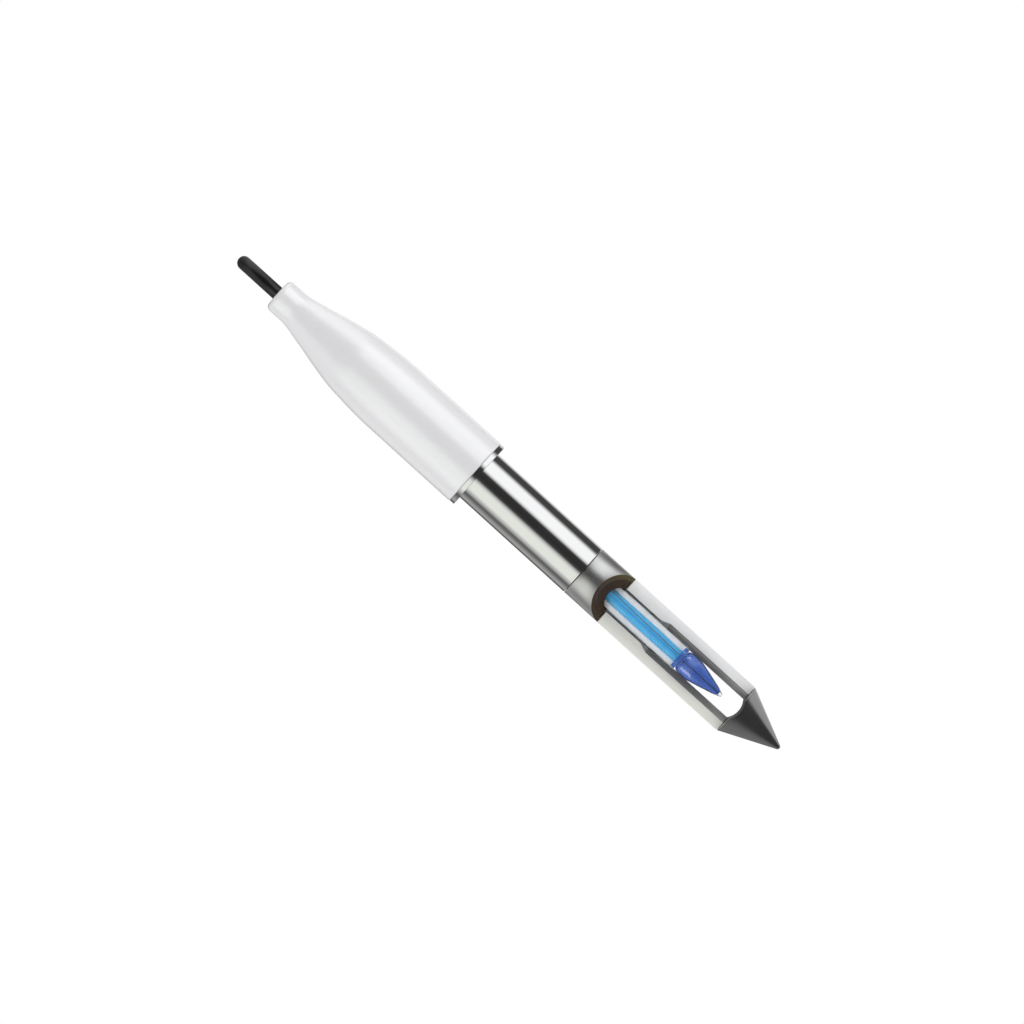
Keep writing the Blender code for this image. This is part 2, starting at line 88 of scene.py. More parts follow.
class Board:
    """Adds nodes to one tree and joins them."""

    def __init__(self, tree: bpy.types.NodeTree) -> None:
        """Keep the tree that the nodes go in."""
        self.tree = tree

    def feed(self, node: Node, inputs: dict) -> None:
        """Give a node its inputs.

        Args:
            node: the node.
            inputs: a plain value or an output socket for each input, by name or number.
        """
        for name, value in inputs.items():
            if isinstance(value, Socket):
                self.tree.links.new(value, node.inputs[name])
            else:
                node.inputs[name].default_value = value

    def add(self, kind: str, inputs: dict | None = None, **settings: object) -> Node:
        """Add one node.

        Args:
            kind: the node's type name.
            inputs: its inputs, as feed takes them.
            settings: the node's own properties.

        Returns:
            The new node.
        """
        node = self.tree.nodes.new(kind)
        for name, value in settings.items():
            setattr(node, name, value)
        self.feed(node, inputs or {})
        return node

    def math(self, operation: str, *values: object) -> Socket:
        """Add a Math node and return its output."""
        node = self.add("ShaderNodeMath", dict(enumerate(values)), operation=operation)
        return node.outputs[0]

    def mix(self, factor: object, first: object, second: object) -> Socket:
        """Mix two colours and return the result."""
        node = self.add("ShaderNodeMix", {0: factor, 6: first, 7: second}, data_type="RGBA")
        return node.outputs[2]

    def part(self, vector: Socket, axis: str) -> Socket:
        """Return one number of a vector."""
        return self.add("ShaderNodeSeparateXYZ", {0: vector}).outputs[axis]

    def span(self, value: Socket, low: float, high: float, first: float = 0.0,
             last: float = 1.0) -> Socket:
        """Turn low into first and high into last, held at both ends."""
        inputs = {0: value, 1: low, 2: high, 3: first, 4: last}
        return self.add("ShaderNodeMapRange", inputs).outputs[0]

    def noise(self, vector: Socket, scale: object, detail: float, rough: float = 0.5) -> Socket:
        """Add a Noise Texture and return its value."""
        inputs = {"Vector": vector, "Scale": scale, "Detail": detail, "Roughness": rough}
        return self.add("ShaderNodeTexNoise", inputs).outputs[0]

    def ramp(self, value: object, stops: list[tuple[float, Colour]]) -> Socket:
        """Add a colour ramp.

        Args:
            value: the socket that picks the place on the ramp.
            stops: (place, colour) from low to high.

        Returns:
            The ramp's colour.
        """
        node = self.add("ShaderNodeValToRGB", {0: value})
        band = node.color_ramp.elements
        while len(band) < len(stops):
            band.new(0.5)
        for element, (place, colour) in zip(band, stops):
            element.position = place
            element.color = (*colour, 1.0)
        return node.outputs["Color"]

    def effect(self, fill: Callable, result: str, **inputs: object) -> Socket:
        """Place a shared node group, which is built at its first use.

        Args:
            fill: the function that joins the nodes in the group, which is named after it.
            result: the name of the group's output.
            inputs: a plain value or an output socket for each of the group's inputs.

        Returns:
            The group's output.
        """
        tree = bpy.data.node_groups.get(fill.__name__)
        if not tree:
            tree = bpy.data.node_groups.new(fill.__name__, "ShaderNodeTree")
            for side, names in (("INPUT", inputs), ("OUTPUT", [result])):
                for name in names:
                    kind = "NodeSocket" + SOCKET_KINDS.get(name, "Float")
                    tree.interface.new_socket(name, in_out=side, socket_type=kind)
            inside = Board(tree)
            given = inside.add("NodeGroupInput").outputs
            inside.add("NodeGroupOutput", {result: fill(inside, given)})
        return self.add("ShaderNodeGroup", inputs, node_tree=tree).outputs[result]

    def bump(self, vector: Socket, relief: Relief, scale: float, depth: float) -> Socket:
        """Fine relief as a normal.

        Args:
            vector: the coordinates it reads.
            relief: the way it runs.
            scale: the scale of its noise.
            depth: its depth in millimetres.

        Returns:
            The bumped normal.
        """
        height = self.effect(fine_relief, "Height", Vector=vector, Stretch=relief.value,
                             Scale=scale)
        inputs = {"Height": height, "Strength": 1.0, "Distance": depth * MM}
        return self.add("ShaderNodeBump", inputs).outputs["Normal"]


def slow_tone(board: Board, given: object) -> Socket:
    """Slow change of tone over a surface: colour times one plus or minus a share of noise.

    Args:
        board: the board on the group's nodes.
        given: the group's inputs by name.

    Returns:
        The changed colour.
    """
    centred = board.math("SUBTRACT", board.noise(given["Vector"], given["Scale"], 3.0), 0.5)
    share = board.math("MULTIPLY", centred, given["Amount"])
    factor = board.math("ADD", board.math("MULTIPLY", share, 2.0), 1.0)
    return board.add("ShaderNodeVectorMath", {0: given["Color"], 3: factor},
                     operation="SCALE").outputs[0]


def handling_marks(board: Board, given: object) -> Socket:
    """Smudges and rubbed places: roughness moved up and down by two sizes of noise.

    Args:
        board: the board on the group's nodes.
        given: the group's inputs by name.

    Returns:
        The changed roughness.
    """
    wide = board.noise(given["Vector"], given["Scale"], 2.0)
    small = board.noise(given["Vector"], board.math("MULTIPLY", given["Scale"], 9.0), 4.0)
    both = board.math("ADD", wide, board.math("MULTIPLY", small, 0.5))
    moved = board.math("MULTIPLY", board.math("SUBTRACT", both, 0.75), given["Spread"])
    return board.math("MAXIMUM", board.math("ADD", given["Roughness"], moved), 0.02)


def fine_relief(board: Board, given: object) -> Socket:
    """Fine relief: noise on coordinates stretched along the direction the surface was worked in.

    Args:
        board: the board on the group's nodes.
        given: the group's inputs by name.

    Returns:
        The height.
    """
    stretched = board.add("ShaderNodeVectorMath", {0: given["Vector"], 1: given["Stretch"]},
                          operation="MULTIPLY")
    return board.noise(stretched.outputs[0], given["Scale"], 5.0, 0.6)


def edge_wear(board: Board, given: object) -> Socket:
    """Edge wear: where the surface is sharply convex, broken up by noise, the worn colour shows.

    Args:
        board: the board on the group's nodes.
        given: the group's inputs by name.

    Returns:
        The changed colour.
    """
    edge = board.span(board.add("ShaderNodeNewGeometry").outputs["Pointiness"], 0.52, 0.6)
    broken = board.math("MULTIPLY", edge, board.noise(given["Vector"], 900.0, 4.0))
    mask = board.math("MULTIPLY", broken, given["Amount"])
    return board.mix(mask, given["Color"], given["Worn"])


# ---------------------------------------------------------------- finishes


@dataclass(frozen=True)
class Look:
    """What every finish has: a name, a colour and one material."""

    name: str
    colour: Colour

    @cache
    def material(self) -> Material:
        """Make the material at the first call and keep it.

        Returns:
            A Principled material, joined up by the finish's own wire method.
        """
        made = bpy.data.materials.new("look_" + self.name)
        made.use_nodes = True
        self.wire(made, Board(made.node_tree), made.node_tree.nodes["Principled BSDF"])
        return made

    def wire(self, made: Material, board: Board, shader: Node) -> None:
        """Join the material's nodes; each kind of finish does this in its own way."""
        raise NotImplementedError


@dataclass(frozen=True)
class Finish(Look):
    """One opaque finish: its colour and gloss, and how both change over the surface."""

    roughness: float
    metallic: float = 0.0
    specular: float = 0.5
    relief: Relief = Relief.MOULDED
    relief_size: float = 0.25
    relief_depth: float = 0.004
    tone: float = 0.04
    tone_size: float = 9.0
    marks: float = 0.06
    worn: Colour | None = None
    wear: float = 0.8

    def wire(self, made: Material, board: Board, shader: Node) -> None:
        """Join tone, wear, smudges and relief to the shader.

        Args:
            made: the material.
            board: the board on its nodes.
            shader: its Principled shader.
        """
        made.diffuse_color = (*self.colour, 1.0)
        place = board.add("ShaderNodeTexCoord").outputs
        along = self.relief is Relief.EXTRUDED
        vector = place["UV" if along else "Object"]
        unit = 1.0 if along else 1.0 / MM
        size = unit / self.tone_size
        colour = board.effect(slow_tone, "Color", Vector=vector, Amount=self.tone, Scale=size,
                              Color=self.tint(board, place["Object"]))
        if self.worn:
            colour = board.effect(edge_wear, "Color", Vector=vector, Color=colour,
                                  Worn=(*self.worn, 1.0), Amount=self.wear)
        gloss = board.effect(handling_marks, "Roughness", Vector=vector, Scale=size,
                             Roughness=self.roughness, Spread=self.marks)
        normal = board.bump(vector, self.relief, unit / self.relief_size, self.relief_depth)
        board.feed(shader, {"Metallic": self.metallic, "Specular IOR Level": self.specular,
                            "Base Color": colour, "Roughness": gloss, "Normal": normal})

    def tint(self, board: Board, place: Socket) -> object:
        """The colour that tone and wear work on; a finish with a pattern replaces this."""
        return (*self.colour, 1.0)


@dataclass(frozen=True)
class SideLitTint(Finish):
    """A finish whose colour turns from one to another across the guard, from -X to +X; the lighter
    +X colour is painted light and the darker -X colour is painted shade.
    """

    # Defaults are the slope face's colours; the right one is lighter, as painted light.
    left: Colour = (0.070, 0.043, 0.026)
    right: Colour = (0.115, 0.095, 0.035)
    half_width: float = 6.0

    def tint(self, board: Board, place: Socket) -> Socket:
        """Ramp on Object X from the darker left colour to the lighter right one: painted light and
        shade across the part.

        Args:
            board: the board on the material's nodes.
            place: the Object coordinates.

        Returns:
            The colour.
        """
        reach = self.half_width * MM
        share = board.span(board.part(place, "X"), -reach, reach)
        return board.ramp(share, [(0.0, self.left), (0.45, self.left), (0.95, self.right)])


@dataclass(frozen=True)
class Filling(Finish):
    """A coloured liquid or gel: a fine dark streak along its middle and paler flanks."""

    streak: Colour = (0.03, 0.12, 0.30)
    streak_half_width: float = 0.16

    def tint(self, board: Board, place: Socket) -> Socket:
        """Mix the streak's colour in where Object X is close to the middle.

        Args:
            board: the board on the material's nodes.
            place: the Object coordinates.

        Returns:
            The colour.
        """
        width = self.streak_half_width * MM
        across = board.math("ABSOLUTE", board.part(place, "X"))
        near = board.span(across, 0.4 * width, 1.6 * width, 1.0, 0.0)
        return board.mix(near, (*self.colour, 1.0), (*self.streak, 1.0))


@dataclass(frozen=True)
class ClearGlass(Look):
    """Drawn laboratory glass: clear, smooth and a little wavy."""

    ior: float = 1.47
    waviness: float = 0.002
    wave_scale: float = 600.0

    def wire(self, made: Material, board: Board, shader: Node) -> None:
        """Set plain transmission and join the waves to the shader.

        Args:
            made: the material.
            board: the board on its nodes.
            shader: its Principled shader.
        """
        place = board.add("ShaderNodeTexCoord").outputs["Object"]
        normal = board.bump(place, Relief.DRAWN, self.wave_scale, self.waviness)
        board.feed(shader, {"Transmission Weight": 1.0, "Roughness": 0.0, "IOR": self.ior,
                            "Base Color": (*self.colour, 1.0), "Normal": normal})


WHITE_PLASTIC = Finish("white_plastic", (0.93, 0.93, 0.945), 0.25, metallic=0.14,
                       relief_size=0.35, relief_depth=0.0012, tone=0.012, marks=0.05)
BLACK_RUBBER = Finish("black_rubber", (0.022, 0.022, 0.023), 0.62, relief_size=0.12,
                      relief_depth=0.006, tone=0.2, tone_size=4.0, worn=(0.09, 0.09, 0.09))
TUBE_STEEL = Finish("polished_tube_steel", (0.75, 0.75, 0.74), 0.085, metallic=1.0,
                    relief=Relief.TURNED, relief_size=0.06, relief_depth=0.00006, tone=0.02,
                    marks=0.04)
GUARD_STEEL = Finish("ground_guard_steel", (0.75, 0.75, 0.74), 0.36, metallic=1.0,
                     relief=Relief.TURNED, relief_size=0.08, relief_depth=0.0002, tone=0.03,
                     marks=0.08)
# Pale rough milled flats; the right colour is lighter than the left, which is painted light on the
# +X rail.
MILLED_STEEL = SideLitTint("milled_flat_steel", (0.90, 0.90, 0.88), 0.55, specular=0.8,
                        relief=Relief.DRAWN, relief_size=0.10, relief_depth=0.0012, tone=0.03,
                        marks=0.08, left=(0.86, 0.86, 0.80), right=(0.96, 0.965, 0.98))
BORE_STEEL = Finish("bored_steel", (0.55, 0.55, 0.545), 0.32, metallic=0.5,
                    relief=Relief.TURNED, relief_size=0.12, relief_depth=0.0008, tone=0.05,
                    marks=0.10)
# Near-white matt colour on the steel groove wall behind the glass: painted light, so that the
# groove looks brightly lit.
GROOVE_STEEL_PAINTED_LIGHT = Finish("groove_steel_painted_light", (0.97, 0.97, 0.96), 0.50,
                      relief=Relief.TURNED, relief_size=0.12, relief_depth=0.0008, tone=0.04,
                      marks=0.08)
# Dark brown slope face, painted lighter towards +X by the default side colours: painted light on
# the brown.
TINTED_STEEL = SideLitTint("heat_tinted_steel", (0.06, 0.04, 0.02), 0.42, metallic=0.25,
                        relief_size=0.12, relief_depth=0.001, tone=0.12, tone_size=3.0,
                        marks=0.12)
POINT_STEEL = Finish("burnished_point_steel", (0.42, 0.42, 0.42), 0.20, metallic=1.0,
                     relief=Relief.TURNED, relief_size=0.08, relief_depth=0.0002, tone=0.08,
                     tone_size=3.0, marks=0.10, worn=(0.62, 0.62, 0.60))
BROWN_SEAL = Finish("brown_seal", (0.050, 0.030, 0.018), 0.55, specular=0.3, relief_size=0.15,
                    relief_depth=0.003, tone=0.18, tone_size=2.5)
STEM_GLASS = ClearGlass("stem_glass", (0.985, 0.99, 0.995), 1.20)
TIP_GLASS = ClearGlass("membrane_glass", (0.93, 0.965, 1.0), 1.50)
BLUE_GEL = Filling("blue_filling", (0.08, 0.56, 1.0), 0.32, specular=0.2, relief_size=0.8,
                   relief_depth=0.002, tone=0.10, tone_size=1.6, streak=(0.05, 0.40, 0.92))
DEEP_GEL = Filling("deep_blue_filling", (0.016, 0.14, 0.68), 0.25, relief_size=0.6,
                   relief_depth=0.004, tone=0.25, tone_size=1.4, streak=(0.008, 0.030, 0.20))
SILVER = Finish("drawn_silver", (0.16, 0.17, 0.19), 0.38, metallic=1.0, relief=Relief.DRAWN,
                relief_size=0.05, relief_depth=0.0006, tone=0.15, tone_size=2.0)
CERAMIC = Finish("soaked_ceramic", (0.012, 0.10, 0.42), 0.60, relief_size=0.06,
                 relief_depth=0.010, tone=0.08, tone_size=1.0)
BRASS = Finish("turned_brass", (0.70, 0.50, 0.20), 0.30, metallic=1.0, relief=Relief.TURNED,
               relief_size=0.08, relief_depth=0.0006, tone=0.08)
COPPER = Finish("drawn_copper", (0.75, 0.40, 0.25), 0.32, metallic=1.0, relief=Relief.DRAWN,
                relief_size=0.05, relief_depth=0.0006, tone=0.10)
JACKET = Finish("extruded_jacket", (0.008, 0.008, 0.009), 0.32, specular=0.6,
                relief=Relief.EXTRUDED, relief_size=0.014, relief_depth=0.010, tone=0.18,
                tone_size=0.8, marks=0.10)
LEAD_BLACK = Finish("lead_black", (0.02, 0.02, 0.02), 0.45, relief=Relief.DRAWN, tone=0.15)
LEAD_RED = Finish("lead_red", (0.45, 0.04, 0.03), 0.45, relief=Relief.DRAWN, tone=0.10)
TIE_NYLON = Finish("black_tie_nylon", (0.020, 0.020, 0.020), 0.42, relief_size=0.10,
                   relief_depth=0.004, tone=0.15, worn=(0.10, 0.10, 0.10))
NICKEL = Finish("satin_nickel", (0.66, 0.64, 0.60), 0.24, metallic=1.0, relief=Relief.TURNED,
                relief_size=0.08, relief_depth=0.0008, tone=0.06, tone_size=4.0, marks=0.12,
                worn=(0.80, 0.74, 0.60))
# White strips beside the blue core: painted light in the bright gaps between the core and the
# groove.
LIGHT_STRIP_WHITE = Finish("painted_light_strip", (0.97, 0.97, 0.97), 0.45, relief_size=0.4,
                 relief_depth=0.001, tone=0.02, tone_size=4.0)
INSULATOR = Finish("white_insulator", (0.86, 0.86, 0.83), 0.45, relief_size=0.10,
                   relief_depth=0.002, tone=0.03)
GOLD = Finish("gold_plate", (0.85, 0.60, 0.24), 0.22, metallic=1.0, relief=Relief.TURNED,
              relief_size=0.06, relief_depth=0.0003, tone=0.06)
RED_SILICONE = Finish("red_silicone", (0.46, 0.045, 0.035), 0.52, relief_size=0.10,
                      relief_depth=0.003, tone=0.10)


# ---------------------------------------------------------------- surfaces


def rounded(points: Array, reach: float, steps: int = 4) -> Array:
    """Round every corner of a closed outline.

    Each corner P becomes the curve (1-t)^2 A + 2t(1-t) P + t^2 B, where A and B lie on its
    two sides at the reach from P, or nearer where a side is short.

    Args:
        points: (count, 2) outline in millimetres.
        reach: how far from the corner the rounding starts.
        steps: spans in each rounded corner.

    Returns:
        (count * (steps + 1), 2) outline.
    """
    corners = np.asarray(points, dtype=float)
    back = np.roll(corners, 1, axis=0) - corners
    ahead = np.roll(corners, -1, axis=0) - corners
    lengths = np.minimum(np.linalg.norm(back, axis=1), np.linalg.norm(ahead, axis=1))
    cut = np.minimum(reach, 0.45 * lengths)[:, None]
    start = corners + back / np.linalg.norm(back, axis=1)[:, None] * cut
    end = corners + ahead / np.linalg.norm(ahead, axis=1)[:, None] * cut
    t = np.linspace(0.0, 1.0, steps + 1)[None, :, None]
    curve = ((1 - t) ** 2 * start[:, None] + 2 * t * (1 - t) * corners[:, None]
             + t ** 2 * end[:, None])
    return curve.reshape(-1, 2)


def eased(stations: Array, steps: int) -> Array:
    """Smooth a turned profile without overshoot.

    Between (height, radius) stations the radius is a cubic Hermite curve whose slope at a
    station is the harmonic mean of the slopes on its two sides, and zero at both ends.

    Args:
        stations: (count, 2) heights and radii.
        steps: points for each span.

    Returns:
        (radius, height) points.
    """
    heights, radii = np.asarray(stations, dtype=float).T
    span = np.diff(heights)
    slope = np.diff(radii) / span
    tangent = np.zeros(len(heights))
    tangent[1:-1] = 2 * slope[:-1] * slope[1:] / (slope[:-1] + slope[1:])
    t = (np.arange(steps) / steps)[None, :]
    near = (1 + 2 * t) * (1 - t) ** 2 * radii[:-1, None]
    near = near + t * (1 - t) ** 2 * (span * tangent[:-1])[:, None]
    far = t ** 2 * (3 - 2 * t) * radii[1:, None] - t ** 2 * (1 - t) * (span * tangent[1:])[:, None]
    places = heights[:-1, None] + t * span[:, None]
    points = np.column_stack([(near + far).ravel(), places.ravel()])
    return np.vstack([points, [radii[-1], heights[-1]]])


def angles(segments: int) -> Array:
    """Even angles for one turn, as a row."""
    return np.linspace(0.0, TURN, segments, endpoint=False)[None, :]


def lathed(radius: Array, height: Array, y: float) -> Array:
    """Points (r cos a, y + r sin a, z), where r may change with both the height and the angle.

    Args:
        radius: (rows, segments) radii in millimetres.
        height: (rows,) heights.
        y: where the axis stands in Y.

    Returns:
        (rows, segments, 3) grid.
    """
    angle = angles(radius.shape[1])
    across = radius * np.cos(angle)
    heights = np.broadcast_to(height[:, None], across.shape)
    return np.stack([across, y + radius * np.sin(angle), heights], axis=-1)


def spun(profile: Array, segments: int, y: float = 0.0) -> Array:
    """Spin a profile about an upright axis.

    Args:
        profile: (rows, 2) radii and heights in millimetres.
        segments: points round the axis.
        y: where the axis stands in Y.

    Returns:
        (rows, segments, 3) grid.
    """
    radius, height = np.asarray(profile, dtype=float).T
    return lathed(np.repeat(radius[:, None], segments, axis=1), height, y)


def swept(path: Array, section: Array) -> Array:
    """Carry a section along a path that never runs along X.

    At each point the tangent T is the central difference of the path, N is X made square to
    T, and B is T x N; a section point (a, b) goes to path + a N + b B.

    Args:
        path: (rows, 3) centreline in millimetres.
        section: (columns, 2) closed section about the centreline.

    Returns:
        (rows, columns, 3) grid.
    """
    tangent = np.gradient(path, axis=0)
    tangent /= np.linalg.norm(tangent, axis=1)[:, None]
    side = np.array([1.0, 0.0, 0.0]) - tangent[:, :1] * tangent
    side /= np.linalg.norm(side, axis=1)[:, None]
    other = np.cross(tangent, side)
    return (path[:, None] + section[None, :, :1] * side[:, None]
            + section[None, :, 1:] * other[:, None])


def capped(grid: Array) -> Array:
    """Close both ends of a grid with a row that sits at the end row's middle.

    Args:
        grid: (rows, columns, 3) points.

    Returns:
        The same grid with two more rows.
    """
    first = np.broadcast_to(grid[0].mean(axis=0), grid[0].shape)
    last = np.broadcast_to(grid[-1].mean(axis=0), grid[-1].shape)
    return np.concatenate([first[None], grid, last[None]])


def skin(name: str, grid: Array, ring: bool = False, crease: float = 32.0,
         aspect: float = 1.0) -> Piece:
    """Make a closed mesh object from a grid of points.

    Cell (i, j) of the grid is one face between rows i, i+1 and columns j, j+1. Columns close
    on themselves, rows do when ring is set, and a row whose points are all in one place
    becomes a pole. The UV map has U along the rows and V round the columns.

    Args:
        name: the piece's name.
        grid: (rows, columns, 3) points in millimetres.
        ring: whether the last row joins the first.
        crease: edges sharper than this angle stay sharp.
        aspect: how much U spans from the first row to the last.

    Returns:
        The object, at the origin.
    """
    rows, columns = grid.shape[:2]
    i, j = np.meshgrid(np.arange(rows if ring else rows - 1), np.arange(columns), indexing="ij")
    below, right = (i + 1) % rows, (j + 1) % columns
    corners = np.stack([i * columns + j, i * columns + right, below * columns + right,
                        below * columns + j], axis=-1).reshape(-1, 4)
    mesh = bpy.data.meshes.new(name)
    mesh.from_pydata((grid.reshape(-1, 3) * MM).tolist(), [], corners.tolist())
    u = np.stack([i, i, i + 1, i + 1], axis=-1) / rows * aspect
    v = np.stack([j, j + 1, j + 1, j], axis=-1) / columns
    layer = mesh.uv_layers.new(name="UVMap")
    layer.data.foreach_set("uv", np.stack([u, v], axis=-1).astype(np.float32).ravel())
    work = bmesh.new()
    work.from_mesh(mesh)
    bmesh.ops.remove_doubles(work, verts=work.verts, dist=2e-7)
    bmesh.ops.recalc_face_normals(work, faces=work.faces)
    work.to_mesh(mesh)
    work.free()
    item = bpy.data.objects.new(name, mesh)
    bpy.context.scene.collection.objects.link(item)
    smooth(item, crease)
    return item


def smooth(item: Piece, crease: float) -> None:
    """Shade a piece smooth, and keep edges sharper than the crease angle sharp.

    Args:
        item: the piece.
        crease: the angle in degrees.
    """
    mesh = item.data
    mesh.polygons.foreach_set("use_smooth", np.ones(len(mesh.polygons), dtype=bool))
    mesh.set_sharp_from_angle(angle=math.radians(crease))
    mesh.update()


def prism(name: str, outline: Array, low: Array, high: Array, axes: tuple[int, int, int]) -> Piece:
    """A solid between two copies of a convex outline.

    Args:
        name: the solid's name.
        outline: (count, 2) points along the first two of the axes.
        low: where it starts along the third axis.
        high: where it ends along the third axis.
        axes: the world axis of the outline's first and second number, and of the depth.

    Returns:
        The object.
    """
    flat = np.asarray(outline, dtype=float)
    grid = np.zeros((2, len(flat), 3))
    grid[:, :, axes[0]] = flat[:, 0]
    grid[:, :, axes[1]] = flat[:, 1]
    grid[:, :, axes[2]] = np.array([low, high])[:, None]
    return skin(name, capped(grid), crease=20.0)


def carve(item: Piece, *cutters: Piece, crease: float = 32.0, bevel: float = 0.0) -> None:
    """Subtract cutters from a piece, round its edges and keep the result as its mesh.

    Args:
        item: the piece.
        cutters: the solids to subtract, which are removed afterwards.
        crease: edges sharper than this angle stay sharp, and are bevelled.
        bevel: the bevel's width in millimetres, or nothing for none.
    """
    for cutter in cutters:
        boolean = item.modifiers.new(cutter.name, "BOOLEAN")
        boolean.operation = "DIFFERENCE"
        boolean.solver = "EXACT"
        boolean.object = cutter
    if bevel:
        edge = item.modifiers.new("edges", "BEVEL")
        edge.width = bevel * MM
        edge.segments = 2
        edge.limit_method = "ANGLE"
        edge.angle_limit = math.radians(crease)
    bpy.context.view_layer.update()
    graph = bpy.context.evaluated_depsgraph_get()
    mesh = bpy.data.meshes.new_from_object(item.evaluated_get(graph))
    item.modifiers.clear()
    item.data = mesh
    smooth(item, crease)
    for cutter in cutters:
        bpy.data.objects.remove(cutter, do_unlink=True)


def sleeve(inner: float, outer: float, top: float, end: float) -> Outline:
    """The closed outline of a plain tube with the given radii and ends."""
    return (outer, top), (outer, end), (inner, end), (inner, top)


def circle(radius: float, count: int) -> Array:
    """Points on a circle about the origin."""
    return radius * np.column_stack([np.cos(angles(count)[0]), np.sin(angles(count)[0])])


# ---------------------------------------------------------------- sub-assemblies


@dataclass
class Assembly:
    """What every sub-assembly shares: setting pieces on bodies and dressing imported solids."""

    def settle(self, item: Piece, body: str, finish: Look | None, slot: str, *nodes: str) -> Piece:
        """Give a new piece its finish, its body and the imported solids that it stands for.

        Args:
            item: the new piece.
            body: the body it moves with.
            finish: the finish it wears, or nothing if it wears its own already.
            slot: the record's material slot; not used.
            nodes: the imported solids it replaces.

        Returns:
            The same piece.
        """
        if finish:
            item.data.materials.append(finish.material())
        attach(item, body)
        if nodes:
            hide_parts(*nodes)
        LOG.info("%s: %d faces on body %s", item.name, len(item.data.polygons), body)
        return item

    def ring(self, name: str, outline: Array, finish: Look, slot: str, node: str, *,
             segments: int = 96, y: float = 0.0, body: str = "probe") -> Piece:
        """Spin a closed outline and settle the result.

        Args:
            name: the piece's name.
            outline: (count, 2) radii and heights, whose last point joins its first.
            finish: the finish it wears.
            slot: the record's material slot.
            node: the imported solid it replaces.
            segments: points round the axis.
            y: where the axis stands in Y.
            body: the body it moves with.

        Returns:
            The piece.
        """
        item = skin(name, spun(outline, segments, y), ring=True)
        return self.settle(item, body, finish, slot, node)

    def dress(self, finishes: dict[str, Look]) -> None:
        """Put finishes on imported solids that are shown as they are.

        Args:
            finishes: the finish for each node.
        """
        for node, finish in finishes.items():
            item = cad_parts[node]
            item.data.materials.clear()
            item.data.materials.append(finish.material())
            LOG.info("%s: packed solid, %s", node, finish.name)


@dataclass
class Handle(Assembly):
    """The white moulded grip with its flared neck, steel seat flange and grommet."""

    grip_r: float = 8.0
    neck_r: float = 3.8
    neck_top: float = 56.6
    neck_edge: float = 1.0
    bore_r: float = 6.3
    shoulder: float = 1.12
    foot_edge: float = 0.28
    flare: Outline = ((52.6, 3.8), (47.2, 4.75), (41.0, 6.2), (34.7, 7.35), (24.0, 8.0))
    groove: Outline = ((6.3, 4.0), (7.3, 4.0), (7.3, 6.0), (6.3, 6.0))
    cavity: Outline = ((6.3, 23.6), (6.0, 25.0), (5.9, 34.7), (4.8, 41.0), (2.6, 50.0),
                       (2.6, 56.6))
    flange: Outline = ((7.85, 1.1), (7.85, 0.0), (6.04, 0.0), (6.04, 1.1))
    grommet: Outline = ((2.5, 56.4), (2.5, 50.2), (1.55, 50.2), (1.55, 56.4))

    def build(self) -> None:
        """Make the grip, the flange and the grommet, and dress what is inside."""
        turn = np.linspace(0.0, math.pi / 2, 9)
        top = np.column_stack([self.neck_r - self.neck_edge * (1 - np.sin(turn)),
                               self.neck_top - self.neck_edge * (1 - np.cos(turn))])
        foot = rounded([(self.grip_r, 20.0), (self.grip_r, self.shoulder),
                        (self.bore_r, self.shoulder), self.groove[0]],
                       self.foot_edge, 6)[7:21]
        profile = np.vstack([top, eased(self.flare, 12), foot, self.groove, self.cavity])
        self.ring("grip", profile, WHITE_PLASTIC, "white_plastic", "handle_shell", segments=160)
        self.ring("seat_ring", rounded(self.flange, 0.05), TUBE_STEEL, "polished_steel",
                  "seat_flange", segments=160)
        self.ring("cable_grommet", rounded(self.grommet, 0.2), BLACK_RUBBER, "black_rubber",
                  "neck_grommet", segments=64)
        self.dress({"handle_o_ring": BLACK_RUBBER, "strain_ferrule": BRASS,
                    "tube_plug": BLACK_RUBBER})


@dataclass
class SteelTube(Assembly):
    """The polished tube and the spigot that the guard screws onto."""

    shaft: Outline = ((6.0, 22.0), (6.0, -29.3))
    spigot: Outline = ((5.2, -29.3), (5.2, -32.0), (4.6, -32.0), (4.6, -33.0), (5.2, -33.0),
                       (5.2, -33.3))
    bore: Outline = ((4.2, -33.3), (4.2, -28.0), (5.0, -27.0), (5.0, 22.0))

    def build(self) -> None:
        """Make the tube and dress the bush inside it."""
        outline = rounded([*self.shaft, *self.spigot, *self.bore], 0.10)
        self.ring("shaft", outline, TUBE_STEEL, "polished_steel", "body_tube", segments=160)
        self.dress({"stem_bush": BLACK_RUBBER})


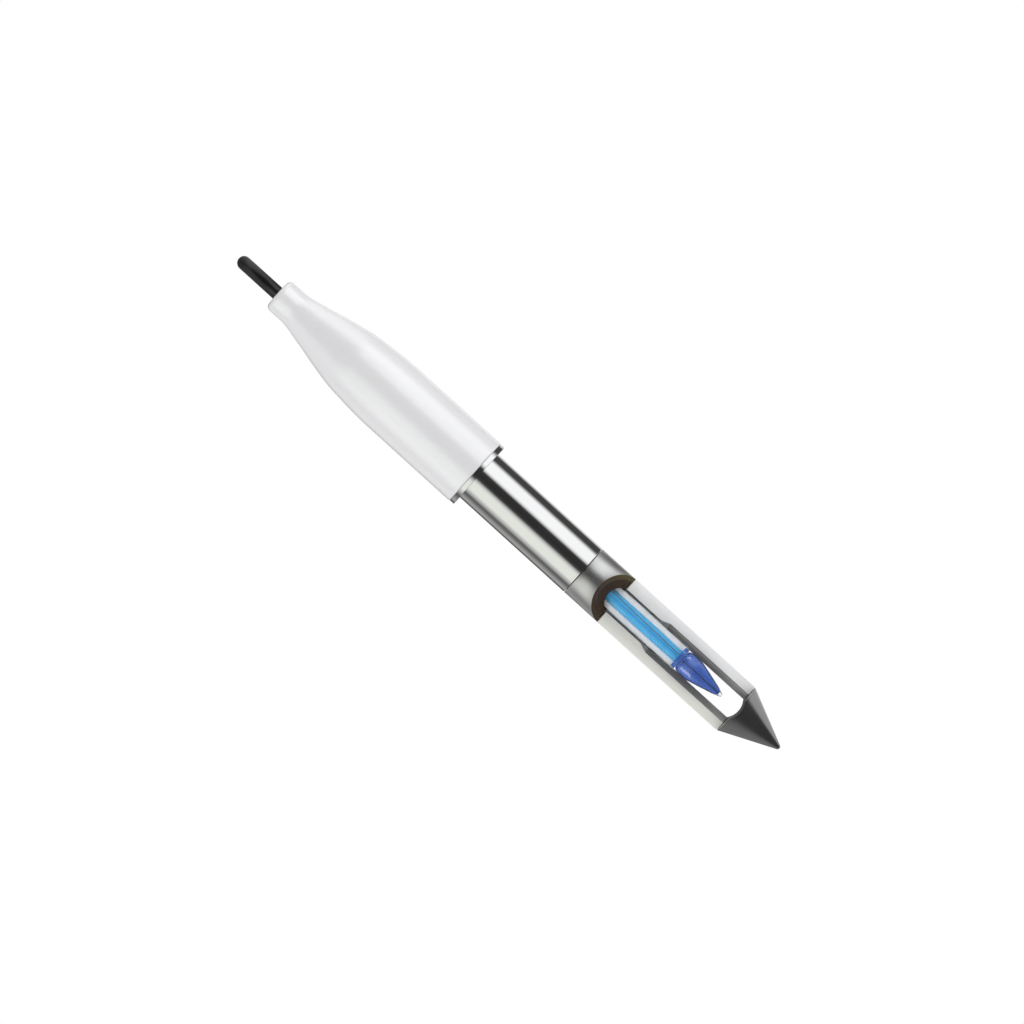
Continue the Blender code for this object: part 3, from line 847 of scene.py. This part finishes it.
@dataclass
class PiercingGuard(Assembly):
    """The cut-away guard with its milled flats, seal, sealing ring and conical point."""

    outer_r: float = 6.0
    top: float = -29.42
    end: float = -72.3
    socket_r: float = 5.5
    socket_end: float = -33.7
    seal_r: float = 4.9
    seal_seat: float = -38.4
    groove_r: float = 3.2
    window_r: float = 4.0
    step: tuple = (-48.4, -50.4)
    slope_top: float = -33.9
    flat_top: float = -38.75
    flat_y: float = -0.2
    slot_half: float = 2.55
    slot_top: float = -53.0
    notch_r: float = 4.0
    notch_end: float = -73.3
    apex: float = -85.5
    tip_r: float = 0.6
    base_gap: float = 0.12
    seal: Outline = ((4.85, -33.6), (4.85, -38.28), (3.0, -38.28), (3.0, -33.6))

    def build(self) -> None:
        """Make the cage, its seal and its point, and dress the sealing ring."""
        self.build_cage()
        self.build_seal()
        self.build_point()
        self.dress({"guard_o_ring": BLACK_RUBBER})

    def front_cut(self) -> Piece:
        """The cutter that opens the front: a slope down to the middle, then straight down.

        Returns:
            The cutter.
        """
        rise = (self.flat_top - self.slope_top) / (self.flat_y + self.outer_r)
        outline = [(self.flat_y, self.flat_top), (self.flat_y, CUT_BOTTOM),
                   (-CUT_REACH, CUT_BOTTOM),
                   (-CUT_REACH, self.slope_top - rise * (CUT_REACH - self.outer_r))]
        return prism("front_cut", outline, -CUT_REACH, CUT_REACH, (1, 2, 0))

    def build_cage(self) -> None:
        """Turn the guard, open its front and its rear slot, and mark which face is which."""
        outline = [(self.outer_r, self.top), (self.outer_r, self.end), (self.window_r, self.end),
                   (self.window_r, self.step[1]), (self.groove_r, self.step[0]),
                   (self.groove_r, self.seal_seat), (self.seal_r, self.seal_seat),
                   (self.seal_r, self.socket_end), (self.socket_r, self.socket_end),
                   (self.socket_r, self.top)]
        cage = skin("guard_shell", spun(rounded(outline, 0.06, 2), 160), ring=True)
        arch = np.linspace(0.0, math.pi, 25)
        slot = np.vstack([[(self.slot_half, CUT_BOTTOM)],
                          np.column_stack([self.slot_half * np.cos(arch),
                                           self.slot_top + self.slot_half * np.sin(arch)]),
                          [(-self.slot_half, CUT_BOTTOM)]])
        carve(cage, self.front_cut(), prism("rear_slot", slot, 1.0, 21.0, (0, 2, 1)),
              crease=30.0, bevel=0.07)
        for finish in (GUARD_STEEL, MILLED_STEEL, BORE_STEEL, TINTED_STEEL, GROOVE_STEEL_PAINTED_LIGHT):
            cage.data.materials.append(finish.material())
        cage.data.polygons.foreach_set("material_index", self.zones(cage.data))
        self.settle(cage, "guard", None, "guard_steel", "guard_cage")

    def zones(self, mesh: bpy.types.Mesh) -> Array:
        """Which finish each face of the cage wears.

        A face whose normal is -Y is milled, one on the slope is heat tinted, one that looks
        at the axis is reamed down to the step and bored below it, and the rest is ground.
        The reamed groove's near-white colour is painted light.

        Args:
            mesh: the carved cage.

        Returns:
            One material number for each face.
        """
        count = len(mesh.polygons)
        normal = np.empty(count * 3, dtype=np.float32)
        centre = np.empty(count * 3, dtype=np.float32)
        mesh.polygons.foreach_get("normal", normal)
        mesh.polygons.foreach_get("center", centre)
        normal, centre = normal.reshape(-1, 3), centre.reshape(-1, 3) / MM
        radial = np.hypot(centre[:, 0], centre[:, 1])
        inward = (normal[:, :2] * centre[:, :2]).sum(axis=1) < -0.3 * radial
        below = centre[:, 2] < self.slope_top + 0.2
        flat = (normal[:, 1] < -0.97) & (centre[:, 1] < self.flat_y + 0.25) & below
        slope = (normal[:, 1] < -0.5) & (normal[:, 2] < -0.6) & below
        # Groove faces: these get the near-white painted light finish.
        groove = inward & (centre[:, 2] > self.step[1])
        return np.select([slope, flat, groove, inward], [3, 1, 4, 2], 0).astype(np.int32)

    def build_seal(self) -> None:
        """The brown ring that holds the glass, cut by the same slope as the guard."""
        seal = skin("stem_holder", spun(rounded(self.seal, 0.08, 2), 96), ring=True)
        carve(seal, self.front_cut(), bevel=0.05)
        self.settle(seal, "guard", BROWN_SEAL, "brown_seal", "stem_seal")

    def build_point(self) -> None:
        """The cone with its rounded tip, and the round end of the slot in its base."""
        slope = self.outer_r / (self.end - self.apex)
        half = math.atan(slope)
        centre = self.apex + self.tip_r / math.sin(half)
        angle = np.linspace(half, math.pi / 2, 8)
        tip = np.column_stack([self.tip_r * np.cos(angle), centre - self.tip_r * np.sin(angle)])
        tip[-1, 0] = 0.0
        base = self.end - self.base_gap
        rim = rounded([(3.0, base), (self.outer_r - self.base_gap * slope, base), (5.0, -74.4)],
                      0.12, 3)[4:8]
        side = np.linspace(rim[-1], tip[0], 24)[1:-1]
        cone = skin("cone_point", spun(np.vstack([[(0.0, base)], rim, side, tip]), 160))
        arc = circle(self.notch_r, 96) + (0.0, self.notch_end + self.notch_r)
        carve(cone, prism("notch", arc, -CUT_REACH, CUT_REACH, (0, 2, 1)), bevel=0.05)
        self.settle(cone, "guard", POINT_STEEL, "dark_steel", "piercing_point")


@dataclass
class GlassElectrode(Assembly):
    """Two glass stems one in the other, the blue fillings, the membrane tip and the wires."""

    stem_r: float = 2.95
    stem_bore_r: float = 2.65
    stem_top: float = -10.0
    stem_end: float = -57.0
    inner_r: float = 1.48
    inner_bore_r: float = 1.30
    tip_wall: float = 0.1
    tip: Outline = ((2.15, -57.15), (2.5, -57.7), (2.55, -58.4), (2.55, -60.6), (2.1, -62.4),
                    (1.55, -64.5), (1.0, -66.6), (0.62, -67.5), (0.46, -68.0))
    tip_end: float = -68.3
    core_top: float = -30.0
    core_bore_r: float = 0.42
    # Height span and thickness of the white strips of painted light.
    light_strip_ends: tuple[float, float] = (-34.0, -56.3)
    light_strip_depth: float = 0.25
    fill_top: float = -57.2
    fill_r: float = 1.98
    wire_top: float = -9.0
    wire_r: float = 0.10
    wire_out: float = 1.29
    return_y: float = 2.1
    return_r: float = 0.25
    return_ends: tuple[float, float] = (-11.0, -55.0)

    def build(self) -> None:
        """Make the glass and the fillings, and dress the junction."""
        end = self.stem_end + 0.1
        outer = sleeve(self.stem_bore_r, self.stem_r, self.stem_top, self.stem_end)
        inner = sleeve(self.inner_bore_r, self.inner_r, self.stem_top + 2.0, end)
        core = sleeve(self.core_bore_r, self.inner_bore_r + 0.01, self.core_top, end)
        self.ring("outer_stem", rounded(outer, 0.12), STEM_GLASS, "clear_glass", "glass_stem")
        self.ring("core_stem", rounded(inner, 0.06), STEM_GLASS, "clear_glass", "inner_stem")
        self.ring("blue_core", rounded(core, 0.05, 2), BLUE_GEL, "blue_gel", "indicator_gel",
                  segments=64)
        self.build_light_strips()
        self.build_tip()
        self.build_wires()
        self.dress({"reference_junction": CERAMIC})

    def build_light_strips(self) -> None:
        """White strips on both sides of the core: painted light, standing for the bright groove
        wall seen through the clear stem.
        """
        inner, outer = self.inner_r + 0.02, self.stem_bore_r - 0.04
        top, end = self.light_strip_ends
        for name, low, high in (("light_strip_left", -outer, -inner), ("light_strip_right", inner, outer)):
            outline = [(low, top), (high, top), (high, end), (low, end)]
            strip = prism(name, outline, 0.0, self.light_strip_depth, (0, 2, 1))
            self.settle(strip, "probe", LIGHT_STRIP_WHITE, "ceramic")

    def build_tip(self) -> None:
        """The membrane: a shell of even wall round the deep blue filling."""
        outer = np.array(self.tip)
        slope = np.gradient(outer, axis=0)
        square = np.column_stack([slope[:, 1], -slope[:, 0]])
        square /= np.linalg.norm(square, axis=1)[:, None]
        inner = outer[:-1] + square[:-1] * self.tip_wall
        inner[:, 0] = np.maximum(inner[:, 0], 0.08)
        shell = np.vstack([outer, [(0.3, self.tip_end + 0.04), (0.0, self.tip_end)],
                           [(0.0, inner[-1, 1] - 0.1)], inner[::-1]])
        self.ring("membrane_tip", shell, TIP_GLASS, "clear_glass", "ph_tip")
        fill = np.vstack([[(0.0, self.fill_top), (self.fill_r, self.fill_top)],
                          inner[1:] - (0.01, 0.0),
                          [(0.0, inner[-1, 1] - 0.05)]])
        self.settle(skin("tip_filling", spun(fill, 64)), "probe", DEEP_GEL,
                    "deep_blue_gel", "tip_gel")

    def build_wires(self) -> None:
        """The sensing wire, which leans on the filling's front, and the reference wire."""
        height = np.linspace(self.wire_top, self.fill_top, 60)
        lean = np.clip((-14.0 - height) / 24.0, 0.0, 1.0)
        across = lean * np.interp(height, [-57.2, -38.0], [0.40, 0.74])
        front = -lean * np.sqrt(self.wire_out ** 2 - across ** 2)
        path = np.column_stack([across, front, height])
        run = np.linspace(*self.return_ends, 20)
        back = np.column_stack([0 * run, 0 * run + self.return_y, run])
        for name, route, radius, node in (("sensing_wire", path, self.wire_r, "silver_wire"),
                                          ("return_wire", back, self.return_r, "reference_wire")):
            wire = skin(name, capped(swept(route, circle(radius, 12))))
            self.settle(wire, "probe", SILVER, "silver", node)


@dataclass
class InnerWiring(Assembly):
    """The leads in the handle, which only show when it is opened."""

    def build(self) -> None:
        """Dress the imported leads."""
        self.dress({"inner_lead": LEAD_RED, "reference_lead": LEAD_BLACK, "core_sleeve": LEAD_RED,
                    "shield_sleeve": LEAD_BLACK, "coax_core": COPPER, "shield_pigtail": SILVER})


@dataclass
class CableHank(Assembly):
    """One metre of coaxial cable: over the top, down behind, six and a half turns, and the plug."""

    radius: float = 1.5
    exit_z: float = 56.6
    rise_z: float = 57.6
    rise_height: float = 9.1
    drop_y: float = 18.0
    middle_y: float = 27.0
    upper: float = 5.2
    lower: float = -26.4
    columns: tuple[float, ...] = (-3.1, 0.0, 3.1, 3.1, 0.0, 0.0, 3.1)
    layers: tuple[float, ...] = (9.0, 9.0, 9.0, 12.1, 12.1, 15.2, 15.2)
    delays: tuple[float, ...] = (64.0, 64.0, 48.0, 32.0, 16.0, 0.0, 0.0)
    step_angle: float = 96.0
    plug_y: float = 52.4
    boot_z: float = -16.0
    grip_z: float = -3.2
    step_top: float = 46.0
    step_span: float = 18.0
    fold_points: int = 20
    leaves_at: int = 17
    pull: float = 24.0
    wobble: float = 0.06
    length: float = 1.0
    tie_z: float = -10.6
    tie_y: float = 12.1
    tie_half: tuple[float, float] = (5.25, 5.2)
    strap: Outline = ((-0.35, -2.0), (0.35, -2.0), (0.35, -0.5), (0.5, -0.4), (0.5, 0.4),
                      (0.35, 0.5), (0.35, 2.0), (-0.35, 2.0))

    def route(self) -> Array:
        """The centreline.

        Straight up, half an ellipse to the back, straight down with an eased step to the
        hank's first column, then turns made of two straight runs and two half circles. Each
        top half circle eases to the next turn's column and layer; the outer turns start
        their step earlier, so that no turn crosses its neighbour. A Hermite curve leaves the
        last bottom half circle and ends straight up in the plug.

        Returns:
            (count, 3) points in millimetres.
        """
        half = np.linspace(0.0, math.pi, 25)
        up = np.linspace(50.6, self.rise_z, 9)[:-1]
        rise = np.column_stack([0 * up, 0 * up, up])
        over = np.column_stack([0 * half, self.drop_y / 2 * (1 - np.cos(half)),
                                self.rise_z + self.rise_height * np.sin(half)])[:-1]
        down = np.linspace(self.rise_z, self.upper, 36)[:-1]
        step = self.ease((self.step_top - down) / self.step_span)
        drop = np.column_stack([self.columns[0] * step, np.full(len(down), self.drop_y), down])
        return np.vstack([rise, over, drop, self.turns(), self.tail()])

    def turns(self) -> Array:
        """The hank's turns, up to where the cable leaves the last fold.

        Returns:
            (count, 3) points in millimetres.
        """
        column = np.array(self.columns)[:, None]
        layer = np.array(self.layers)[:, None]
        run = np.linspace(self.upper, self.lower, 10)[None, :-1]
        fold = np.linspace(0.0, math.pi, self.fold_points + 1)[None, :-1]
        flat = np.zeros_like(run)
        front = np.stack([column + flat, self.middle_y - layer + flat, run + 0 * column], -1)
        low = np.stack([column + 0 * fold, self.middle_y - layer * np.cos(fold),
                        self.lower - layer * np.sin(fold)], -1)
        rear = np.stack([column + flat, self.middle_y + layer + flat,
                         self.upper + self.lower - run + 0 * column], -1)
        late = np.radians(self.delays)[:, None]
        step = self.ease((fold - late) / math.radians(self.step_angle))
        column_next = np.append(self.columns[1:], self.columns[-1])[:, None]
        layer_next = np.append(self.layers[1:], self.layers[-1])[:, None]
        wide = layer + (layer_next - layer) * step
        high = np.stack([column + (column_next - column) * step,
                         self.middle_y + wide * np.cos(fold), self.upper + wide * np.sin(fold)], -1)
        points = np.concatenate([front, low, rear, high], axis=1).reshape(-1, 3)
        per_turn = 2 * run.size + 2 * fold.size
        kept = per_turn * (len(self.columns) - 1) + run.size + self.leaves_at
        along = np.arange(kept)[:, None] / (5.3, 7.1)
        points[:kept, :2] += self.wobble * np.sin(along)
        return points[:kept]

    def tail(self) -> Array:
        """From the last fold to the plug, as a Hermite curve and a straight end.

        Returns:
            (count, 3) points in millimetres.
        """
        angle = math.pi * self.leaves_at / self.fold_points
        start = np.array([self.columns[-1],
                          self.middle_y - self.layers[-1] * math.cos(angle),
                          self.lower - self.layers[-1] * math.sin(angle)])
        end = np.array([0.0, self.plug_y, self.boot_z])
        away = self.pull * np.array([0.0, math.sin(angle), -math.cos(angle)])
        into = self.pull * np.array([0.0, 0.0, 1.0])
        t = np.linspace(0.0, 1.0, 17)[:, None]
        curve = ((2 * t ** 3 - 3 * t ** 2 + 1) * start + (t ** 3 - 2 * t ** 2 + t) * away
                 + (3 * t ** 2 - 2 * t ** 3) * end + (t ** 3 - t ** 2) * into)
        return np.vstack([curve, np.linspace(end, (0.0, self.plug_y, self.grip_z), 6)[1:]])

    @staticmethod
    def ease(share: Array) -> Array:
        """Smooth step: 3 t^2 - 2 t^3 with t held between 0 and 1."""
        t = np.clip(share, 0.0, 1.0)
        return 3 * t ** 2 - 2 * t ** 3

    def build(self, plug: list) -> None:
        """Args:
            plug: the plug's pieces; not used.
        """
        path = self.route()
        grid = capped(swept(path, circle(self.radius, 28)))
        length = np.linalg.norm(np.diff(path, axis=0), axis=1).sum()
        cable = skin("coaxial_cable", grid, aspect=length / (TURN * self.radius))
        self.settle(cable, "probe", JACKET, "black_jacket", "cable", "cable_tail", "cable_hank")
        ties = [self.tie("tie_strap_front", -1, "tie_front"),
                self.tie("tie_strap_rear", 1, "tie_rear")]
        LOG.info("cable: centreline %.1f mm", length)

    def tie(self, name: str, side: int, node: str) -> Piece:
        """A flat strap round one bundle, following a rounded rectangle, with a raised rib.

        Args:
            name: the piece's name.
            side: -1 for the front bundle, 1 for the rear one.
            node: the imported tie.

        Returns:
            The strap.
        """
        corners = np.array([(-1, -1), (1, -1), (1, 1), (-1, 1)]) * self.tie_half
        outline = rounded(corners, 2.6, 10)
        outward = np.gradient(outline, axis=0)
        outward = np.column_stack([outward[:, 1], -outward[:, 0]])
        outward /= np.maximum(np.linalg.norm(outward, axis=1), 1e-9)[:, None]
        section = rounded(self.strap, 0.12, 3)
        flat = outline[:, None] + outward[:, None] * section[None, :, :1]
        flat = flat + (0.0, self.middle_y + side * self.tie_y)
        height = np.broadcast_to(self.tie_z + section[None, :, 1], flat.shape[:2])
        grid = np.concatenate([flat, height[..., None]], axis=-1)
        return self.settle(skin(name, grid, ring=True), "probe", TIE_NYLON, "black_jacket", node)


@dataclass
class BayonetPlug(Assembly):
    """The coaxial bayonet plug on the cable's end, mouth up."""

    y: float = 52.4
    shell: Outline = ((3.9, 19.0), (4.0, 11.6), (4.9, 11.6), (4.9, 10.4), (4.0, 10.4), (4.0, 7.6),
                      (5.6, 7.6), (5.6, 3.7), (1.6, 3.7), (1.6, 6.0), (3.0, 6.0), (3.0, 19.0))
    pin: Outline = ((0.0, 18.0), (0.2, 17.97), (0.42, 17.75), (0.65, 17.0), (0.65, 4.0),
                    (0.0, 4.0))
    nut_head: Outline = ((5.2, 21.5), (6.6, 21.5), (6.95, 21.35))
    nut_foot: Outline = ((6.95, 8.3), (6.6, 8.0), (4.4, 8.0), (4.35, 8.1), (4.35, 9.2), (6.0, 9.2),
                         (6.0, 12.2), (5.1, 12.4), (5.1, 21.4))
    boot_mouth: Outline = ((3.3, -3.0), (3.9, -3.0))
    boot_bore: Outline = ((2.0, -16.0), (1.53, -16.0), (1.53, -3.0))
    boot_taper: Outline = ((-15.9, 2.35), (-5.0, 3.85), (-3.2, 4.05))
    rib_depth: float = 0.28
    rib_pitch: float = 1.9
    rib_top: float = -5.2
    crimp_r: float = 3.18
    crimp_flat: float = 2.78
    crimp_bore: Outline = ((1.8, 3.4), (1.8, -2.7))
    nut_r: float = 7.12
    nut_segments: int = 288
    knurl_pitch: float = 24.0
    knurl_depth: float = 0.14

    def build(self) -> list[Piece]:
        """Make every piece of the plug.

        Returns:
            The pieces.
        """
        return [self.build_boot(), self.build_ferrule(), *self.build_body(), *self.build_nut()]

    def turned(self, name: str, outline: Outline, finish: Look, slot: str, node: str,
               reach: float = 0.12, body: str = "probe") -> Piece:
        """Round a closed outline's corners, spin it about the plug's axis and settle it."""
        return self.ring(name, rounded(outline, reach), finish, slot, node, y=self.y, body=body)

    def build_boot(self) -> Piece:
        """The bend relief: a taper with ribs, radius plus a rib where the sine is high.

        Returns:
            The piece.
        """
        places, radii = np.array(self.boot_taper).T
        height = np.linspace(places[-1], places[0], 90)
        wave = np.sin((height - self.rib_top) / self.rib_pitch * TURN)
        rib = self.rib_depth * np.clip(wave * 2.5, 0.0, 1.0) * (height < self.rib_top)
        outer = np.column_stack([np.interp(height, places, radii) + rib, height])
        profile = np.vstack([self.boot_mouth, outer, self.boot_bore])
        return self.ring("bend_relief", profile, BLACK_RUBBER, "black_rubber", "connector_boot",
                         y=self.y)

    def build_ferrule(self) -> Piece:
        """The crimp: round at its ends and hexagonal between, where r = flat / cos(angle).

        Returns:
            The piece.
        """
        height = np.linspace(-2.7, 3.4, 40)
        hexagon = self.crimp_flat / np.cos((angles(144) + TURN / 12) % (TURN / 6) - TURN / 12)
        pressed = np.clip(np.minimum(height + 2.0, 2.7 - height) / 0.5, 0.0, 1.0)[:, None]
        outer = lathed(self.crimp_r + (hexagon - self.crimp_r) * pressed, height, self.y)
        inner = spun(self.crimp_bore, 144, self.y)
        return self.settle(skin("hex_crimp", np.concatenate([outer, inner]), ring=True), "probe",
                           NICKEL, "nickel_plate", "crimp_ferrule")

    def build_body(self) -> list[Piece]:
        """The plug's body, insulator, pin and gasket.

        Returns:
            The four pieces.
        """
        contact = skin("centre_pin", spun(self.pin, 48, self.y))
        return [
            self.turned("plug_body", self.shell, NICKEL, "nickel_plate", "connector_body", 0.15),
            self.turned("insulator", sleeve(0.95, 2.6, 13.5, 6.3), INSULATOR, "white_insulator",
                        "dielectric"),
            self.settle(contact, "probe", GOLD, "gold_plate", "contact_pin"),
            self.turned("mating_gasket", sleeve(1.6, 2.7, 14.9, 13.8), RED_SILICONE,
                        "red_silicone", "gasket")]

    def build_nut(self) -> list[Piece]:
        """The knurled coupling nut and its spring washer.

        The knurl adds depth * cos(n a + k z) * cos(n a - k z) to the radius, faded out at
        both ends of its band.

        Returns:
            The washer and the nut.
        """
        washer = self.turned("wave_washer", sleeve(4.3, 5.6, 10.25, 9.95), NICKEL, "nickel_plate",
                             "spring_washer", 0.08, "washer")
        height = np.linspace(20.9, 8.9, 96)
        along = self.knurl_pitch * angles(self.nut_segments)
        slant = self.knurl_pitch * height[:, None] / 7.1
        fade = np.clip(np.minimum(19.8 - height, height - 9.6) / 0.6, 0.0, 1.0)[:, None]
        knurl = np.cos(along + slant) * np.cos(along - slant)
        outer = lathed(self.nut_r - self.knurl_depth * fade * (1 - knurl), height, self.y)
        head = spun(self.nut_head, self.nut_segments, self.y)
        foot = spun(self.nut_foot, self.nut_segments, self.y)
        nut = skin("knurled_nut", np.concatenate([head, outer, foot]), ring=True)
        return [washer, self.settle(nut, "nut", NICKEL, "nickel_plate", "coupling_nut")]


# ---------------------------------------------------------------- studio


@dataclass
class Studio:
    """The camera, the soft light and the pale floor."""

    aim: tuple[float, ...] = (-0.00096, 0.0, -0.01016)
    distance: float = 1.187
    right: tuple[float, ...] = (0.6717, 0.0, -0.7408)
    up: tuple[float, ...] = (0.7408, 0.0, 0.6717)
    lens: float = 200.0
    floor_z: float = -0.32
    floor_half: float = 1.0
    diffuse_level: float = 0.74

    def build(self) -> None:
        """Set up the camera, the lamps, the floor and the world."""
        self.build_camera()
        for lamp in Lamp:
            self.build_lamp(lamp)
        self.build_floor()
        self.build_world()
        bpy.context.scene.view_settings.view_transform = "Standard"

    def build_camera(self) -> None:
        """A long lens that looks along +Y at the electrode, rolled on its own axis."""
        data = bpy.data.cameras.new("camera")
        data.lens = self.lens
        data.sensor_width = 36.0
        data.clip_start = 0.01
        camera = bpy.data.objects.new("camera", data)
        place = (self.aim[0], self.aim[1] - self.distance, self.aim[2])
        turned = Matrix((self.right, self.up, (0.0, -1.0, 0.0))).transposed().to_4x4()
        camera.matrix_world = Matrix.Translation(place) @ turned
        bpy.context.scene.collection.objects.link(camera)
        bpy.context.scene.camera = camera

    def build_lamp(self, lamp: Lamp) -> None:
        """A square soft box that looks at the electrode and isn't mirrored in the steel.

        Args:
            lamp: which light.
        """
        place, side, power = lamp.value
        data = bpy.data.lights.new(lamp.name.lower(), "AREA")
        data.size = side
        data.energy = power
        item = bpy.data.objects.new(lamp.name.lower(), data)
        away = np.array(place) - np.array(self.aim)
        away /= np.linalg.norm(away)
        across = np.cross((0.0, 0.0, 1.0), away)
        across /= np.linalg.norm(across)
        turned = Matrix((across, np.cross(away, across), away)).transposed().to_4x4()
        item.matrix_world = Matrix.Translation(place) @ turned
        item.visible_glossy = False
        bpy.context.scene.collection.objects.link(item)

    def build_floor(self) -> None:
        """A plain pale floor under the held electrode."""
        half = self.floor_half
        corners = [(-half, -half), (half, -half), (half, half), (-half, half)]
        mesh = bpy.data.meshes.new("floor")
        mesh.from_pydata([(x, y, self.floor_z) for x, y in corners], [], [(0, 1, 2, 3)])
        floor = bpy.data.objects.new("floor", mesh)
        mesh.materials.append(Finish("pale_floor", (0.86, 0.86, 0.86), 0.8, tone=0.01,
                                     tone_size=200.0, relief_size=2.0).material())
        floor.visible_glossy = False
        bpy.context.scene.collection.objects.link(floor)

    def build_world(self) -> None:
        """White round the camera's and the glass's rays, even for matt surfaces, and soft
        boxes and flags by direction for mirrored rays."""
        world = bpy.data.worlds.new("studio")
        bpy.context.scene.world = world
        world.use_nodes = True
        world.cycles.sampling_method = "NONE"
        board = Board(world.node_tree)
        path = board.add("ShaderNodeLightPath")
        clear = board.math("MAXIMUM", path.outputs["Is Camera Ray"],
                           path.outputs["Is Transmission Ray"])
        colour = board.mix(path.outputs["Is Glossy Ray"], self.even(board), self.mirrored(board))
        colour = board.mix(clear, colour, (1.0, 1.0, 1.0, 1.0))
        background = world.node_tree.nodes["Background"]
        board.tree.links.new(colour, background.inputs["Color"])

    def even(self, board: Board) -> Socket:
        """What matt surfaces receive: soft white, stronger from below than from above.

        Args:
            board: the board on the world's nodes.

        Returns:
            The colour.
        """
        ray = board.add("ShaderNodeTexCoord").outputs["Generated"]
        share = board.span(board.part(ray, "Z"), -1.0, 1.0)
        low, high = 1.45 * self.diffuse_level, 0.55 * self.diffuse_level
        return board.ramp(share, [(0.0, (low,) * 3), (1.0, (high,) * 3)])

    def mirrored(self, board: Board) -> Socket:
        """What polished surfaces mirror: bands by the angle from -Y, darker low down.

        Args:
            board: the board on the world's nodes.

        Returns:
            The colour.
        """
        ray = board.add("ShaderNodeTexCoord").outputs["Generated"]
        minus_y = board.math("MULTIPLY", board.part(ray, "Y"), -1.0)
        angle = board.math("ARCTAN2", board.part(ray, "X"), minus_y)
        turn = board.math("ADD", board.math("MULTIPLY", angle, 1.0 / TURN), 0.5)
        band = board.ramp(turn, self.stops([
            (-180, 0.10), (-150, 0.10), (-140, 0.36), (-130, 0.46), (-113, 0.29), (-100, 0.135),
            (-92, 0.18), (-83, 0.50), (-74, 0.72), (-66, (0.99, 1.03, 0.96)),
            (-34, (0.99, 1.03, 0.96)), (-25, 0.80), (-12.5, 0.06), (0, 0.032), (20, 0.040),
            (24, 0.10), (31, 0.84), (39, (1.22, 1.235, 1.26)), (78, (1.22, 1.235, 1.26)),
            (85, 0.90), (92, 0.40), (98, 0.10), (106, 0.06), (138, 0.08), (150, 0.80),
            (162, 0.85), (172, 0.15), (180, 0.10)]))
        low = board.ramp(turn, self.stops([
            (-180, 0.30), (-100, 0.30), (-70, 0.22), (-45, 0.10), (-25, 0.07), (66, 0.07),
            (74, 0.12), (88, 0.60), (172, 0.60), (180, 0.3)]))
        above = board.ramp(turn, self.stops([
            (-180, 0.10), (-150, 0.10), (-120, 0.40), (-60, 0.60), (-46, 0.40), (-30, 0.04),
            (0, 0.0), (38, 0.0), (56, 0.50), (70, 0.80), (120, 0.80), (150, 0.3),
            (180, 0.1)]))
        height = board.math("ARCSINE", board.part(ray, "Z"))
        to_low = board.span(height, math.radians(-9.0), math.radians(-17.0))
        to_high = board.span(height, math.radians(11.0), math.radians(19.0))
        return board.mix(to_high, board.mix(to_low, band, low), above)

    @staticmethod
    def stops(levels: list[tuple]) -> list[tuple[float, Colour]]:
        """Ramp stops from (degrees, level or colour) pairs."""
        return [(degrees / 360.0 + 0.5, level if isinstance(level, tuple) else (level,) * 3)
                for degrees, level in levels]


def main() -> None:
    """Build the studio and every sub-assembly."""
    logging.basicConfig(level=logging.INFO, format="%(name)s: %(message)s")
    Studio().build()
    CableHank().build(BayonetPlug().build())
    Handle().build()
    SteelTube().build()
    PiercingGuard().build()
    GlassElectrode().build()
    InnerWiring().build()


if __name__ == "__main__":
    main()
